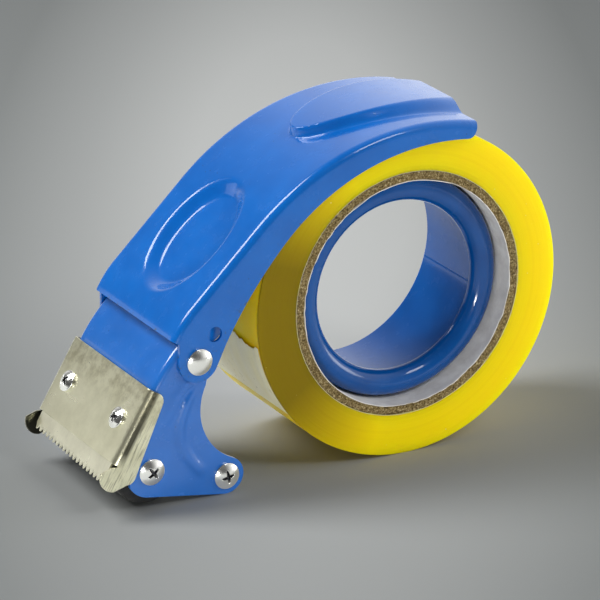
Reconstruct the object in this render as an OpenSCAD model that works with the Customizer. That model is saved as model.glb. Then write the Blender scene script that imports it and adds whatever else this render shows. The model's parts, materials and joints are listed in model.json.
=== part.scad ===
// Hand-held packing tape dispenser with a part-used roll of 48 mm tape.
// Origin: on the hub axis, half way across the tape. +Y runs along the hub axis, away from
// the open side, -X points to the blade and +Z is up. It stands on the roll and on its heel.

/* [Tape roll] */
// Width of the tape
tape_w = 48; // [40:0.5:52]
// Outside diameter of the part-used roll
roll_d = 110; // [90:1:115]
// Bore of the cardboard core
core_bore = 76.2; // [70:0.1:80]
// Wall of the cardboard core
core_wall = 3.1; // [2:0.1:5]
// Thickness of the paper ply inside the core
liner_t = 0.3; // [0.2:0.05:0.6]
// Thickness that the free tail of film is given
tail_t = 0.3; // [0.2:0.05:0.6]
// Length of the free tail
tail_len = 27; // [15:1:40]
// How far the end of the tail stands off the roll
tail_lift = 0.6; // [0.4:0.1:1]
// Where the tail leaves the roll, in degrees from +X
tail_angle = 217; // [200:1:230]

/* [Hub] */
// Radial play of the core on the hub drum
core_play = 0.5; // [0.3:0.05:1.5]
// Sheet thickness of the drum
drum_t = 1.2; // [0.8:0.1:2]
// Outer radius of the curled rim of the drum
curl_r = 4.4; // [3:0.1:6]
// How far the drum's curled rim sits inside the near face of the roll
drum_recess = 5.5; // [2:0.5:12]
// Width of the drum's foot flange
foot_flange = 3.2; // [2:0.1:5]
// Radius of the side plate that carries the drum
plate_r = 46; // [43:0.5:50]
// Radial step from the drum's bore to the hole in the side plate
plate_step = 0.6; // [0.3:0.1:1.5]
// Play between the side plate's arm and the bend of the handle
plate_play = 0.6; // [0.3:0.1:2]

/* [Handle] */
// Sheet thickness of the handle, the head and the side plate
sheet_t = 1.2; // [0.8:0.1:1.6]
// Play between the roll and the roof of the handle
roof_gap = 1.5; // [1:0.1:6]
// Outer radius of the arch in side view
arch_r = 85.5; // [80:0.5:95]
// How far the top of the arch lies behind the hub axis
arch_back = 4; // [0:0.5:10]
// Turn of the arch behind its top, in degrees
arch_rear_angle = 12.4; // [8:0.1:16]
// Turn of the arch in front of its top, in degrees
arch_front_angle = 44.5; // [40:0.5:48]
// Length of the straight front of the handle
straight_len = 34.2; // [28:0.1:40]
// Radius of the lip that turns down at the front
lip_r = 35; // [25:0.5:60]
// Turn of the front lip, in degrees
lip_angle = 18.5; // [10:0.5:24]
// Outer radius of the long bends
bend_r = 2.4; // [1.8:0.1:3]
// Depth of the flange at the rear end
flange_rear = 5.6; // [5:0.1:9]
// Depth of the flange where the arch meets the straight
flange_mid = 10.9; // [9:0.1:14]
// Depth of the flange at the ear
flange_ear = 17.3; // [15:0.1:20]
// Radius of the flange's rear corner
flange_corner = 2.6; // [1:0.1:3]
// Radius of the ear round the rivet
ear_r = 6.9; // [6:0.1:8.5]
// Distance of the rivet behind the front edge of the handle
rivet_back = 9; // [7.5:0.1:12]
// Distance of the rivet below the front edge of the handle
rivet_drop = 7.9; // [6:0.1:10]

/* [Thumb rest and palm swell] */
// Length of the sunk thumb rest
dish_len = 46; // [36:1:50]
// Width of the sunk thumb rest
dish_w = 34; // [24:1:40]
// Depth of the sunk thumb rest
dish_depth = 3.2; // [1:0.1:3.4]
// Distance of the thumb rest's middle from the front edge
dish_from_front = 32; // [29:0.5:38]
// Length of the raised palm swell, from the rear edge to its nose
swell_len = 53.5; // [48:0.5:60]
// Width of the palm swell at the rear edge
swell_w = 37; // [30:1:42]
// Height of the palm swell
swell_h = 3.2; // [2:0.1:4.5]
// Length of the flat crown on the palm swell
crown_len = 63; // [50:1:66]
// Width of the flat crown
crown_w = 24.4; // [16:0.2:26]
// Distance of the crown's middle in front of the arch's top
crown_front = 2; // [0:0.5:3]

/* [Head] */
// Play between the tape's edge and each cheek
cheek_gap = 1.2; // [0.8:0.1:3]
// Play between a cheek and the handle's flange
head_play = 0.2; // [0.1:0.05:0.6]
// Slope of the front face from the horizontal, in degrees
face_angle = 59.7; // [55:0.1:65]
// Distance of the face's top edge in front of the rivet
face_front = 16.7; // [15:0.1:19]
// Distance of the face's top edge below the rivet
face_drop = 6.6; // [5:0.1:8]
// Radius of the bow between the face and the tongue under the handle
bow_r = 60; // [40:1:90]
// Turn of that bow, in degrees
bow_angle = 13.7; // [8:0.1:16]
// Length of the head's tongue under the handle
tongue_len = 8.5; // [6:0.1:10]
// Length of the front panel down the face
panel_len = 18.5; // [17:0.1:19]
// Depth of the tongue's side walls
tongue_side = 9; // [7:0.5:11]
// Distance of the roller axle below the front panel's lower edge, down the face
roller_down = 5.3; // [4:0.1:7]
// Play between the back of the blade and the roller
roller_play = 1.5; // [1:0.1:3]
// Distance of the guide axle behind the rivet
guide_back = 10.4; // [8:0.1:14]
// Radius of the cheek round the roller axle
boss_r = 8.6; // [7:0.1:9.5]
// Radius of the heel round the guide axle
heel_r = 6.2; // [5.5:0.1:8]
// Radius of the concave neck of the cheek
neck_r = 19.8; // [16:0.1:24]
// Direction from the guide axle to the middle of the neck's arc, in degrees
neck_angle = 66; // [60:1:72]
// Width of the pressed bead along the neck
bead_w = 5; // [3:0.1:6]
// Height of the pressed bead
bead_h = 0.6; // [0.3:0.1:0.9]
// Distance of the bead from the neck's edge
bead_inset = 7.4; // [6:0.1:9]

/* [Blade and guard] */
// Sheet thickness of the guard
guard_t = 0.8; // [0.5:0.1:1.2]
// Play between the guard's wings and the cheeks
guard_play = 0.1; // [0.05:0.05:0.3]
// How far the guard's front plate hangs below the front panel
guard_lap = 7.6; // [6:0.1:9]
// Width of the guard's wing at the top
wing_top = 6.6; // [5:0.1:8]
// Width of the guard's wing at the bottom
wing_low = 9.8; // [8:0.1:10]
// How far the guard's wing reaches below its front plate
wing_lap = 8.5; // [7:0.1:10]
// How far the wing's toe stands in front of the face
toe_out = 2.6; // [1:0.1:4]
// Radius of the wing's toe
toe_r = 5.2; // [4:0.1:5.6]
// Radius of the wing's rear corners
wing_corner = 3; // [2:0.1:4]
// Thickness of the blade
blade_t = 0.6; // [0.4:0.1:1]
// Play between the blade's ends and the bends of the guard
blade_play = 0.1; // [0.1:0.1:3]
// How far the tooth tips stand below the guard's front plate, at the middle
blade_out = 6.7; // [5:0.1:8]
// Extra length of the blade at the near end of the tooth line
blade_extra = 1.4; // [0:0.1:2]
// Number of teeth
teeth = 20; // [10:1:30]
// Depth of a tooth
tooth_h = 2; // [1:0.1:3]
// Spacing of the two guard screws
screw_pitch = 35; // [28:0.5:40]
// Distance of the guard screws above the front panel's lower edge
screw_up = 5.2; // [4.5:0.1:7]

/* [Rollers and fasteners] */
// Diameter of the rubber roller
roller_d = 23.2; // [20:0.1:23.6]
// Wall of the rubber sleeve
rubber_t = 3.6; // [2:0.1:5]
// Diameter of the guide tube
guide_d = 10; // [8:0.1:11]
// Diameter of both axle rods
axle_d = 6; // [5:0.1:7]
// Radial running clearance on the axle rods
run_clear = 0.05; // [0.02:0.01:0.1]
// Axial play of the roller and the guide tube at each end
end_play = 0.35; // [0.2:0.05:1]
// Thickness of the washers beside the roller
washer_t = 0.8; // [0.5:0.1:1.5]
// Diameter of those washers
washer_d = 11; // [9:0.1:14]
// Shank diameter of the cheek screws
cheek_screw_d = 4; // [3:0.1:4.5]
// Head diameter of the cheek screws
cheek_head_d = 8.8; // [7:0.1:9]
// Head height of the cheek screws
cheek_head_h = 2; // [1.5:0.1:3]
// Depth that the cheek screws reach into the rods
cheek_screw_reach = 8; // [5:0.5:12]
// Shank diameter of the guard screws
guard_screw_d = 3.8; // [3:0.1:4]
// Head diameter of the guard screws
guard_head_d = 7.2; // [6:0.1:8]
// Head height of the guard screws
guard_head_h = 2; // [1.5:0.1:3]
// Shank diameter of the head rivets
rivet_d = 4.4; // [3:0.1:5]
// Head diameter of the head rivets
rivet_head_d = 8.8; // [7:0.1:9.5]
// Head height of the head rivets
rivet_head_h = 2; // [1.2:0.1:3]

/* [Hidden] */
$fn = 96;

blue = [0.17, 0.42, 0.82];
nickel = [0.72, 0.70, 0.62];
steel = [0.82, 0.82, 0.83];
// Overrun of every cut
over = 1;
// Clearance of a shank in its hole, and of a screw in its thread
hole_clear = 0.2;
thread_clear = 0.03;
// Radial gap between layers that touch
layer_gap = 0.02;

roll_r = roll_d / 2;
half_tape = tape_w / 2;
cheek_in = half_tape + cheek_gap;
cheek_out = cheek_in + sheet_t;
flange_in = cheek_out + head_play;
flange_out = flange_in + sheet_t;
plate_in = flange_in - sheet_t;
deg = 180 / PI;

// Side view points are [x, z]. The handle's top line is measured forward from the arch's top.
arch_c = [arch_back, roll_r + roof_gap + sheet_t - arch_r];
arch_front = arch_r * arch_front_angle / deg;
arch_rear = arch_r * arch_rear_angle / deg;
lip_len = lip_r * lip_angle / deg;
handle_front = arch_front + straight_len + lip_len;
function heading(a) = [-cos(a), -sin(a)];
function outward(a) = [-sin(a), cos(a)];
function around(c, r, a) = c + r * [cos(a), sin(a)];
function arc(c, r, a, b, n) = [for (k = [0:n]) around(c, r, a + (b - a) * k / n)];
straight_from = arch_c + arch_r * outward(arch_front_angle);
lip_from = straight_from + straight_len * heading(arch_front_angle);
lip_c = lip_from - lip_r * outward(arch_front_angle);
function slope(s) = s <= arch_front ? s / arch_r * deg
    : s <= arch_front + straight_len ? arch_front_angle
    : arch_front_angle + (s - arch_front - straight_len) / lip_r * deg;
function top_line(s) = s <= arch_front ? arch_c + arch_r * outward(slope(s))
    : s <= arch_front + straight_len ? straight_from + (s - arch_front) * heading(arch_front_angle)
    : lip_c + lip_r * outward(slope(s));
front_edge = top_line(handle_front);
rivet = front_edge + [rivet_back, -rivet_drop];
// The heel stands on the same floor as the roll
guide_c = [rivet[0] + guide_back, heel_r - roll_r];

// The face of the guard: d runs down the face and w runs in behind it
face_top = rivet - [face_front, face_drop];
function face(d, w) = face_top + d * heading(face_angle) - w * outward(face_angle);
panel_w = guard_t + blade_t;
guard_h = panel_len + guard_lap;
wing_h = guard_h + wing_lap;
screw_down = panel_len - screw_up;
roller_c = face(panel_len + roller_down, panel_w + roller_play + roller_d / 2);
bow_c = face(0, panel_w + bow_r);
tongue_angle = face_angle - bow_angle;
tongue_from = bow_c + bow_r * outward(tongue_angle);
tongue_end = tongue_from - tongue_len * heading(tongue_angle);

// Joins two grids of points, an outer and an inner skin, into one closed sheet
module sheet(outer, inner) {
    rows = len(outer);
    cols = len(outer[0]);
    size = rows * cols;
    function at(i, j) = i * cols + j;
    function quad(a, b, c, d) = [[a, b, c], [a, c, d]];
    faces = concat(
        [for (i = [0:rows - 2], j = [0:cols - 2])
            each quad(at(i, j), at(i, j + 1), at(i + 1, j + 1), at(i + 1, j))],
        [for (i = [0:rows - 2], j = [0:cols - 2])
            each quad(size + at(i, j), size + at(i + 1, j), size + at(i + 1, j + 1), size + at(i, j + 1))],
        [for (i = [0:rows - 2], j = [0, cols - 1]) each (j == 0
            ? quad(at(i, j), at(i + 1, j), size + at(i + 1, j), size + at(i, j))
            : quad(at(i + 1, j), at(i, j), size + at(i, j), size + at(i + 1, j)))],
        [for (i = [0, rows - 1], j = [0:cols - 2]) each (i == 0
            ? quad(at(i, j + 1), at(i, j), size + at(i, j), size + at(i, j + 1))
            : quad(at(i, j), at(i, j + 1), size + at(i, j + 1), size + at(i, j)))]);
    polyhedron(points = concat([for (row = outer) each row], [for (row = inner) each row]),
        faces = faces);
}

// Extrudes a side view from y0 to y1
module across(y0, y1) {
    translate([0, y1, 0]) rotate([90, 0, 0]) linear_extrude(y1 - y0) children();
}

// Puts a piece that lies along Z on an axis along Y through point c
module on_axis(c, y = 0) {
    translate([c[0], y, c[1]]) rotate([-90, 0, 0]) children();
}

// Local frame of the guard's face: x runs up the face and z out of it
module on_face(down = 0, y = 0) {
    translate([face(down, 0)[0], y, face(down, 0)[1]]) rotate([0, -face_angle, 0]) children();
}

// Round bar or tube along Y, from y0 to y1
module bar(c, r, y0, y1) {
    on_axis(c, y0) cylinder(r = r, h = y1 - y0);
}

module tube(c, r, bore, y0, y1) {
    difference() {
        bar(c, r, y0, y1);
        bar(c, bore, y0 - over, y1 + over);
    }
}

// Domed head above z = 0, with or without a cross recess
head_rim_share = 0.3;
slot_long_share = 0.55;
slot_deep_share = 0.6;
slot_wide_share = 0.14;
module dome_head(d, h, crossed) {
    rise = h * (1 - head_rim_share);
    slot = d * slot_long_share;
    ball = (d * d / 4 + rise * rise) / (2 * rise);
    difference() {
        intersection() {
            cylinder(d = d, h = h);
            translate([0, 0, h - ball]) sphere(r = ball);
        }
        for (a = [0, 90]) if (crossed)
            rotate([0, 0, a]) translate([-slot / 2, -d * slot_wide_share / 2, h * (1 - slot_deep_share)])
                cube([slot, d * slot_wide_share, h]);
    }
}

function soft(f) = f <= 0 ? 0 : f >= 1 ? 1 : f * f * (3 - 2 * f);
// Share of full depth at radius share rho, flat inside the flat share
function pressed(rho, flat) = soft((1 - rho) / (1 - flat));
dish_flat_share = 0.7;
dish_at = handle_front - dish_from_front;
// The swell rises from its foot to its crown, each half an ellipse in plan
function swell(s, y) =
    let (foot = swell_w / 2 * (1 - norm([(s + arch_rear) / swell_len, 2 * y / swell_w])),
        crown = crown_w / 2 * (norm([2 * (s - crown_front) / crown_len, 2 * y / crown_w]) - 1))
    foot <= 0 ? 0 : soft(foot / (foot + max(0, crown)));
function relief(s, y) = swell_h * swell(s, y)
    - dish_depth * pressed(norm([2 * (s - dish_at) / dish_len, 2 * y / dish_w]), dish_flat_share);

// Depth of the flange below the top line
flange_grow = (flange_mid - flange_rear) / (arch_front + arch_rear);
flange_gain = (flange_ear - flange_mid - flange_grow * straight_len) / pow(straight_len, 2);
function flange_full(s) = flange_rear + flange_grow * (s + arch_rear)
    + flange_gain * pow(max(0, s - arch_front), 2);
function corner_cut(s) = let (d = min(flange_corner, max(0, flange_corner - s - arch_rear)))
    flange_corner - sqrt(pow(flange_corner, 2) - pow(d, 2));
function flange_low(s) = top_line(s) - (flange_full(s) - corner_cut(s)) * outward(slope(s));

// The handle's stations: [place on the top line, lower end of the flange in side view]
arch_steps = 24;
straight_steps = 12;
ear_steps = 10;
corner_steps = 3;
ear_from_angle = -29;
ear_to_angle = -178;
station_from = -arch_rear + flange_corner;
stations = concat(
    [for (k = [0:corner_steps - 1]) let (s = -arch_rear + flange_corner * k / corner_steps)
        [s, flange_low(s)]],
    [for (k = [0:arch_steps - 1]) let (s = station_from + (arch_front - station_from) * k / arch_steps)
        [s, flange_low(s)]],
    [for (k = [0:straight_steps]) let (s = arch_front + straight_len * k / straight_steps)
        [s, flange_low(s)]],
    [for (k = [1:ear_steps]) [handle_front + lip_len * (k / ear_steps - 1),
        around(rivet, ear_r, ear_from_angle + (ear_to_angle - ear_from_angle) * (k - 1) / (ear_steps - 1))]]);

// One row of the handle's skin across the sheet, off = 0 outside and sheet_t inside
wall_steps = 2;
bend_steps = 3;
roof_steps = 30;
function skin_row(station, off) =
    let (s = station[0], p = top_line(s), n = outward(slope(s)), foot = station[1],
        flat_y = flange_out - bend_r, root = p - bend_r * n)
    concat(
        [for (k = [0:wall_steps - 1]) let (q = foot + (root - foot) * k / wall_steps)
            [q[0], flange_out - off, q[1]]],
        [for (k = [0:bend_steps - 1]) let (a = 90 - 90 * k / bend_steps,
            q = p - (bend_r - (bend_r - off) * cos(a)) * n)
            [q[0], flat_y + (bend_r - off) * sin(a), q[1]]],
        [for (k = [0:roof_steps]) let (y = flat_y * (1 - 2 * k / roof_steps),
            q = p + (relief(s, y) - off) * n) [q[0], y, q[1]]],
        [for (k = [1:bend_steps]) let (a = 90 * k / bend_steps,
            q = p - (bend_r - (bend_r - off) * cos(a)) * n)
            [q[0], -flat_y - (bend_r - off) * sin(a), q[1]]],
        [for (k = [1:wall_steps]) let (q = root + (foot - root) * k / wall_steps)
            [q[0], off - flange_out, q[1]]]);

// Pressed handle: an arched channel with a sunk thumb rest, a raised palm swell, two ears
// for the rivets and a lanced tab in each flange that stops the head from turning
tab_r = 2.5;
tab_play = 0.3;
tab_lap = 0.25;
tab_angle = 26;
tab_share = 0.68;
tab_c = tongue_end - tongue_side * tab_share * outward(tongue_angle)
    - (tab_r + tab_lap + tab_play) * heading(tongue_angle);
module handle_shell() color(blue) {
    difference() {
        sheet([for (st = stations) skin_row(st, 0)], [for (st = stations) skin_row(st, sheet_t)]);
        bar(rivet, rivet_d / 2 + hole_clear, -flange_out - over, flange_out + over);
        bar(tab_c, tab_r, -flange_out - over, flange_out + over);
    }
    for (side = [0, 1]) mirror([0, side, 0]) intersection() {
        bar(tab_c, tab_r + tab_lap, -flange_out, 0);
        translate([tab_c[0] - tab_r - tab_lap, -flange_out, tab_c[1] - 2 * tab_r])
            rotate([0, 0, tab_angle]) cube([4 * tab_r, sheet_t, 4 * tab_r]);
    }
}

// Flat side plate that carries the drum and laps the inside of the far flange
arm_from_angle = 90;
arm_to_angle = 138;
arm_steps = 4;
module side_plate() color(blue)
    across(plate_in, flange_in) difference() {
        union() {
            circle(r = plate_r);
            intersection() {
                translate(arch_c) circle(r = arch_r - bend_r - plate_play);
                polygon(concat([[0, 0]],
                    arc([0, 0], arch_r, arm_from_angle, arm_to_angle, arm_steps)));
            }
        }
        circle(r = core_bore / 2 - core_play - drum_t + plate_step);
    }

// Sheet steel drum with a curled rim at the open side and a foot flange on the side plate
drum_r = core_bore / 2 - core_play;
drum_near = drum_recess - half_tape;
module hub_drum() color(blue)
    on_axis([0, 0]) rotate_extrude($fn = 180) {
        translate([drum_r - drum_t, drum_near + curl_r]) square([drum_t, plate_in - drum_near - curl_r]);
        translate([drum_r - drum_t, plate_in - drum_t]) square([drum_t + foot_flange, drum_t]);
        translate([drum_r - curl_r, drum_near + curl_r]) difference() {
            circle(r = curl_r, $fn = 48);
            circle(r = curl_r - drum_t, $fn = 48);
            translate([-curl_r - over, 0]) square([2 * (curl_r + over), curl_r + over]);
        }
    }

// Outline of a cheek, from the tongue's end down the front, round the heel and up the neck
sole_angle = let (d = guide_c - roller_c) atan2(d[1], d[0]) - acos((boss_r - heel_r) / norm(d));
neck_c = around(guide_c, heel_r + neck_r, neck_angle);
neck_end_angle = 155;
boss_from_angle = -150;
cheek_steps = 18;
bow_steps = 8;
cheek_outline = concat(
    [tongue_end + over * outward(tongue_angle)],
    arc(bow_c, bow_r + over, 90 + tongue_angle, 90 + face_angle, bow_steps),
    [face(panel_len, panel_w - over), face(panel_len, panel_w)],
    arc(roller_c, boss_r, boss_from_angle, sole_angle, cheek_steps),
    arc(guide_c, heel_r, sole_angle, neck_angle, cheek_steps),
    arc(neck_c, neck_r, 180 + neck_angle, neck_end_angle, cheek_steps),
    [tongue_end - tongue_side * outward(tongue_angle)]);
// The opening below the front panel
inner_w = panel_w + sheet_t;
mouth_outline = [face(panel_len, panel_w + bend_r + over), face(panel_len, -over),
    face(2 * panel_len, -over), face(2 * panel_len, panel_w + bend_r + over)];

// Bent channel that follows the tongue, the bow and the face, off = 0 outside
head_deep_share = 0.92;
function head_row(p, a, off) =
    let (n = outward(a), deep = bow_r * head_deep_share, flat_y = cheek_out - bend_r)
    concat(
        [let (q = p - deep * n) [q[0], cheek_out - off, q[1]]],
        [for (k = [0:bend_steps]) let (b = 90 - 90 * k / bend_steps,
            q = p - (bend_r - (bend_r - off) * cos(b)) * n)
            [q[0], flat_y + (bend_r - off) * sin(b), q[1]]],
        [for (k = [0:bend_steps]) let (b = 90 * k / bend_steps,
            q = p - (bend_r - (bend_r - off) * cos(b)) * n)
            [q[0], -flat_y - (bend_r - off) * sin(b), q[1]]],
        [let (q = p - deep * n) [q[0], off - cheek_out, q[1]]]);
function head_skin(off) = concat(
    [head_row(tongue_end, tongue_angle, off)],
    [for (k = [0:bow_steps]) let (a = tongue_angle + bow_angle * k / bow_steps)
        head_row(bow_c + bow_r * outward(a), a, off)],
    [head_row(face(2 * guard_h, panel_w), face_angle, off)]);

// Raised bead pressed into each cheek, concentric with the neck
bead_from_angle = 162;
bead_to_angle = 231;
module bead() {
    bead_r = (bead_w * bead_w / 4 + bead_h * bead_h) / (2 * bead_h);
    on_axis(neck_c) rotate([0, 0, -bead_to_angle]) rotate_extrude(angle = bead_to_angle - bead_from_angle)
        for (side = [-1, 1]) intersection() {
            translate([neck_r + bead_inset, side * (cheek_out + bead_h - bead_r)])
                circle(r = bead_r);
            translate([neck_r + bead_inset - bead_w / 2, side > 0 ? cheek_in : -cheek_out - bead_h])
                square([bead_w, sheet_t + bead_h]);
        }
}

// Bent head: a front panel and a tongue between two cheeks
module front_frame() color(blue)
    difference() {
        union() {
            intersection() {
                across(-flange_out, flange_out) polygon(cheek_outline);
                sheet(head_skin(0), head_skin(sheet_t));
            }
            bead();
        }
        across(-cheek_in, cheek_in) polygon(mouth_outline);
        bar(rivet, rivet_d / 2 + hole_clear, -flange_out, flange_out);
        bar(roller_c, cheek_screw_d / 2 + hole_clear, -flange_out, flange_out);
        bar(guide_c, cheek_screw_d / 2 + hole_clear, -flange_out, flange_out);
        guard_holes(guard_screw_d / 2 + thread_clear);
    }

module guard_holes(r) {
    for (side = [-1, 1]) on_face(screw_down, side * screw_pitch / 2)
        translate([0, 0, -inner_w - over]) cylinder(r = r, h = inner_w + 2 * over);
}

// Wing of the guard in side view, as [d, w] on the face
toe_c = [wing_h - toe_r, toe_r - toe_out];
low_c = [wing_h - toe_r - wing_corner / 2, wing_low - wing_corner];
toe_from_angle = 25;
toe_to_angle = -80;
corner_arc_steps = 5;
toe_steps = 12;
wing_outline = concat(
    [[0, bend_r]],
    arc([wing_corner, wing_top - wing_corner], wing_corner, 180, 90, corner_arc_steps),
    arc(low_c, wing_corner, 90, toe_from_angle, corner_arc_steps),
    arc(toe_c, toe_r, toe_from_angle, toe_to_angle, toe_steps),
    [[guard_h + toe_out / 2, 0], [guard_h, bend_r]]);
wing_in = cheek_out + guard_play;
wing_out = wing_in + guard_t;
module blade_guard() color(nickel)
    difference() {
        union() {
            for (y = [-wing_out, wing_in]) across(y, y + guard_t)
                polygon([for (q = wing_outline) face(q[0], q[1])]);
            on_face(guard_h) rotate([0, 90, 0]) rotate([0, 0, -90]) linear_extrude(guard_h) difference() {
                guard_section(0);
                guard_section(guard_t);
            }
        }
        guard_holes(guard_screw_d / 2 + hole_clear);
    }

// Section of the guard: the front plate and its two bends, off = 0 outside
module guard_section(off) {
    difference() {
        union() {
            translate([bend_r - wing_out, off]) square([2 * (wing_out - bend_r), bend_r]);
            for (side = [-1, 1]) translate([side * (wing_out - bend_r), bend_r]) circle(r = bend_r - off);
        }
        translate([-wing_out - over, bend_r]) square([2 * (wing_out + over), 2 * bend_r + off]);
    }
}

// Toothed blade, clamped under the guard a little out of square
blade_w = 2 * (wing_out - bend_r - blade_play);
tooth_pitch = blade_w / teeth;
function tip_down(y) = guard_h + blade_out - blade_extra * y / blade_w;
blade_top = 5;
module blade() color(nickel)
    difference() {
        on_face() translate([0, 0, -panel_w]) linear_extrude(blade_t) polygon(concat(
            [[-blade_top, -blade_w / 2]],
            [for (k = [0:teeth - 1]) let (y = -blade_w / 2 + k * tooth_pitch)
                each [[tooth_h - tip_down(y), y], [-tip_down(y), y + tooth_pitch / 2]]],
            [[tooth_h - tip_down(blade_w / 2), blade_w / 2], [-blade_top, blade_w / 2]]));
        guard_holes(guard_screw_d / 2 + 2 * hole_clear);
    }

guard_screw_len = 5;
module guard_screws() color(steel)
    for (side = [-1, 1]) on_face(screw_down, side * screw_pitch / 2) {
        dome_head(guard_head_d, guard_head_h, true);
        translate([0, 0, -guard_screw_len]) cylinder(d = guard_screw_d, h = guard_screw_len);
    }

// A rivet through each flange and cheek, upset on the inside
upset_h = 1;
upset_share = 1.35;
module head_rivets() color(steel)
    for (side = [0, 180]) translate([rivet[0], 0, rivet[1]]) rotate([0, 0, side])
        rotate([90, 0, 0]) {
            translate([0, 0, flange_out]) dome_head(rivet_head_d, rivet_head_h, false);
            translate([0, 0, cheek_in - upset_h / 2])
                cylinder(d = rivet_d, h = flange_out - cheek_in + upset_h / 2);
            translate([0, 0, cheek_in - upset_h]) cylinder(d = rivet_d * upset_share, h = upset_h);
        }

// Rod between the cheeks, tapped at both ends
module rod(c) {
    difference() {
        bar(c, axle_d / 2, -cheek_in, cheek_in);
        for (side = [-1, 1]) bar(c, cheek_screw_d / 2 + thread_clear,
            side > 0 ? cheek_in - cheek_screw_reach - over : -cheek_in - over,
            side > 0 ? cheek_in + over : cheek_screw_reach + over - cheek_in);
    }
}

// Pair of screws that hold a rod between the cheeks
module rod_screws(c) {
    for (side = [0, 180]) translate([c[0], 0, c[1]]) rotate([0, 0, side]) rotate([90, 0, 0]) {
        translate([0, 0, cheek_out]) dome_head(cheek_head_d, cheek_head_h, true);
        translate([0, 0, cheek_in - cheek_screw_reach])
            cylinder(d = cheek_screw_d, h = cheek_out - cheek_in + cheek_screw_reach);
    }
}

module roller_axle() color(steel) rod(roller_c);
module guide_axle() color(steel) rod(guide_c);
module roller_screws() color(steel) rod_screws(roller_c);
module guide_screws() color(steel) rod_screws(guide_c);

roller_half = cheek_in - washer_t - end_play;
module roller_washers() color([0.9, 0.9, 0.88])
    for (y = [-cheek_in, cheek_in - washer_t])
        tube(roller_c, washer_d / 2, axle_d / 2 + run_clear, y, y + washer_t);

module roller_core() color([0.2, 0.2, 0.22])
    tube(roller_c, roller_d / 2 - rubber_t - layer_gap, axle_d / 2 + run_clear, -roller_half, roller_half);

// Rubber sleeve with rounded ends
sleeve_round = 1;
module roller_sleeve() color([0.06, 0.06, 0.06])
    on_axis(roller_c) rotate_extrude() {
        translate([roller_d / 2 - rubber_t, -roller_half])
            square([rubber_t - sleeve_round, 2 * roller_half]);
        translate([roller_d / 2 - sleeve_round, sleeve_round - roller_half])
            square([sleeve_round, 2 * (roller_half - sleeve_round)]);
        for (side = [-1, 1])
            translate([roller_d / 2 - sleeve_round, side * (roller_half - sleeve_round)])
                circle(r = sleeve_round, $fn = 24);
    }

module guide_tube() color(steel)
    tube(guide_c, guide_d / 2, axle_d / 2 + run_clear, end_play - cheek_in, cheek_in - end_play);

core_r = core_bore / 2 + core_wall;
module tape_core() color([0.62, 0.5, 0.33])
    tube([0, 0], core_r, core_bore / 2 + liner_t, -half_tape, half_tape);

module core_liner() color([0.92, 0.91, 0.88])
    tube([0, 0], core_bore / 2 + liner_t - layer_gap, core_bore / 2, -half_tape, half_tape);

module tape_roll() color([0.98, 0.86, 0.06])
    tube([0, 0], roll_r, core_r + layer_gap, -half_tape, half_tape);

// Free tail of film that leaves the roll on a flatter arc and ends in a torn edge
tail_steps = 8;
tear_steps = 24;
tear_shares = [0.2, 0.9, 0.4, 0.7, 0.1, 1, 0.5, 0.8];
tear_h = 1.2;
tail_root = roll_r + layer_gap;
tail_r = 1 / (1 / tail_root - 2 * tail_lift / pow(tail_len, 2));
function tail_point(f, j, r) =
    let (y = half_tape * (2 * j / tear_steps - 1),
        run = tail_len - tear_h * tear_shares[j % len(tear_shares)],
        a = tail_angle - f * run / tail_r * deg,
        q = around((tail_root - tail_r) * [cos(tail_angle), sin(tail_angle)], r, a))
    [q[0], y, q[1]];
function tail_skin(r) =
    [for (k = [0:tail_steps]) [for (j = [0:tear_steps]) tail_point(k / tail_steps, j, r)]];
module tape_tail() color([0.95, 0.92, 0.74])
    sheet(tail_skin(tail_r + tail_t), tail_skin(tail_r));

handle_shell();
side_plate();
hub_drum();
front_frame();
blade_guard();
blade();
guard_screws();
head_rivets();
roller_axle();
roller_screws();
roller_washers();
roller_core();
roller_sleeve();
guide_axle();
guide_screws();
guide_tube();
tape_core();
core_liner();
tape_roll();
tape_tail();
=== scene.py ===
import json
import math
import bmesh
import bpy
import numpy as np
from mathutils import Matrix, Vector


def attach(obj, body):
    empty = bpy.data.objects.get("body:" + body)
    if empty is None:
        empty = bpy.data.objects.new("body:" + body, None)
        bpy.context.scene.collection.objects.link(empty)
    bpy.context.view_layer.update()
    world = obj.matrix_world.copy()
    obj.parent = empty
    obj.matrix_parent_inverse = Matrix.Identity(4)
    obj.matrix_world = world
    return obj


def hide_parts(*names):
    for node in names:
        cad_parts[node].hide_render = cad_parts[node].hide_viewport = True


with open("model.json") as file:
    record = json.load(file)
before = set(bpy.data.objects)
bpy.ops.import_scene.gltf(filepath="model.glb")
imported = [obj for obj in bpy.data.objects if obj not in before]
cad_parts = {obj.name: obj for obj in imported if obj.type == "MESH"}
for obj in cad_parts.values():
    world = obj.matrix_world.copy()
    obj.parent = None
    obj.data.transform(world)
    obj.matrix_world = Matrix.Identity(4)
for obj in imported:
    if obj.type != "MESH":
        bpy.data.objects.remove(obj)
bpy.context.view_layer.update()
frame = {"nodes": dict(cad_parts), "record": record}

# Lengths are in millimetres and are written to the meshes in metres. Side view points are [x, z].
# Names that end in TURN hold radians, names that end in ANGLE degrees.
MM = 0.001
scene = bpy.context.scene

# The driving sizes, the same as in the part's source
HALF_TAPE = 24.0
ROLL_R = 55.0
CORE_BORE_R = 38.1
CORE_WALL = 3.1
LINER_T = 0.3
CORE_PLAY = 0.5
DRUM_T = 1.2
CURL_R = 4.4
DRUM_RECESS = 5.5
FOOT_FLANGE = 3.2

SHEET = 1.2
BEND_R = 2.4
CHEEK_GAP = 1.2
HEAD_PLAY = 0.2

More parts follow.
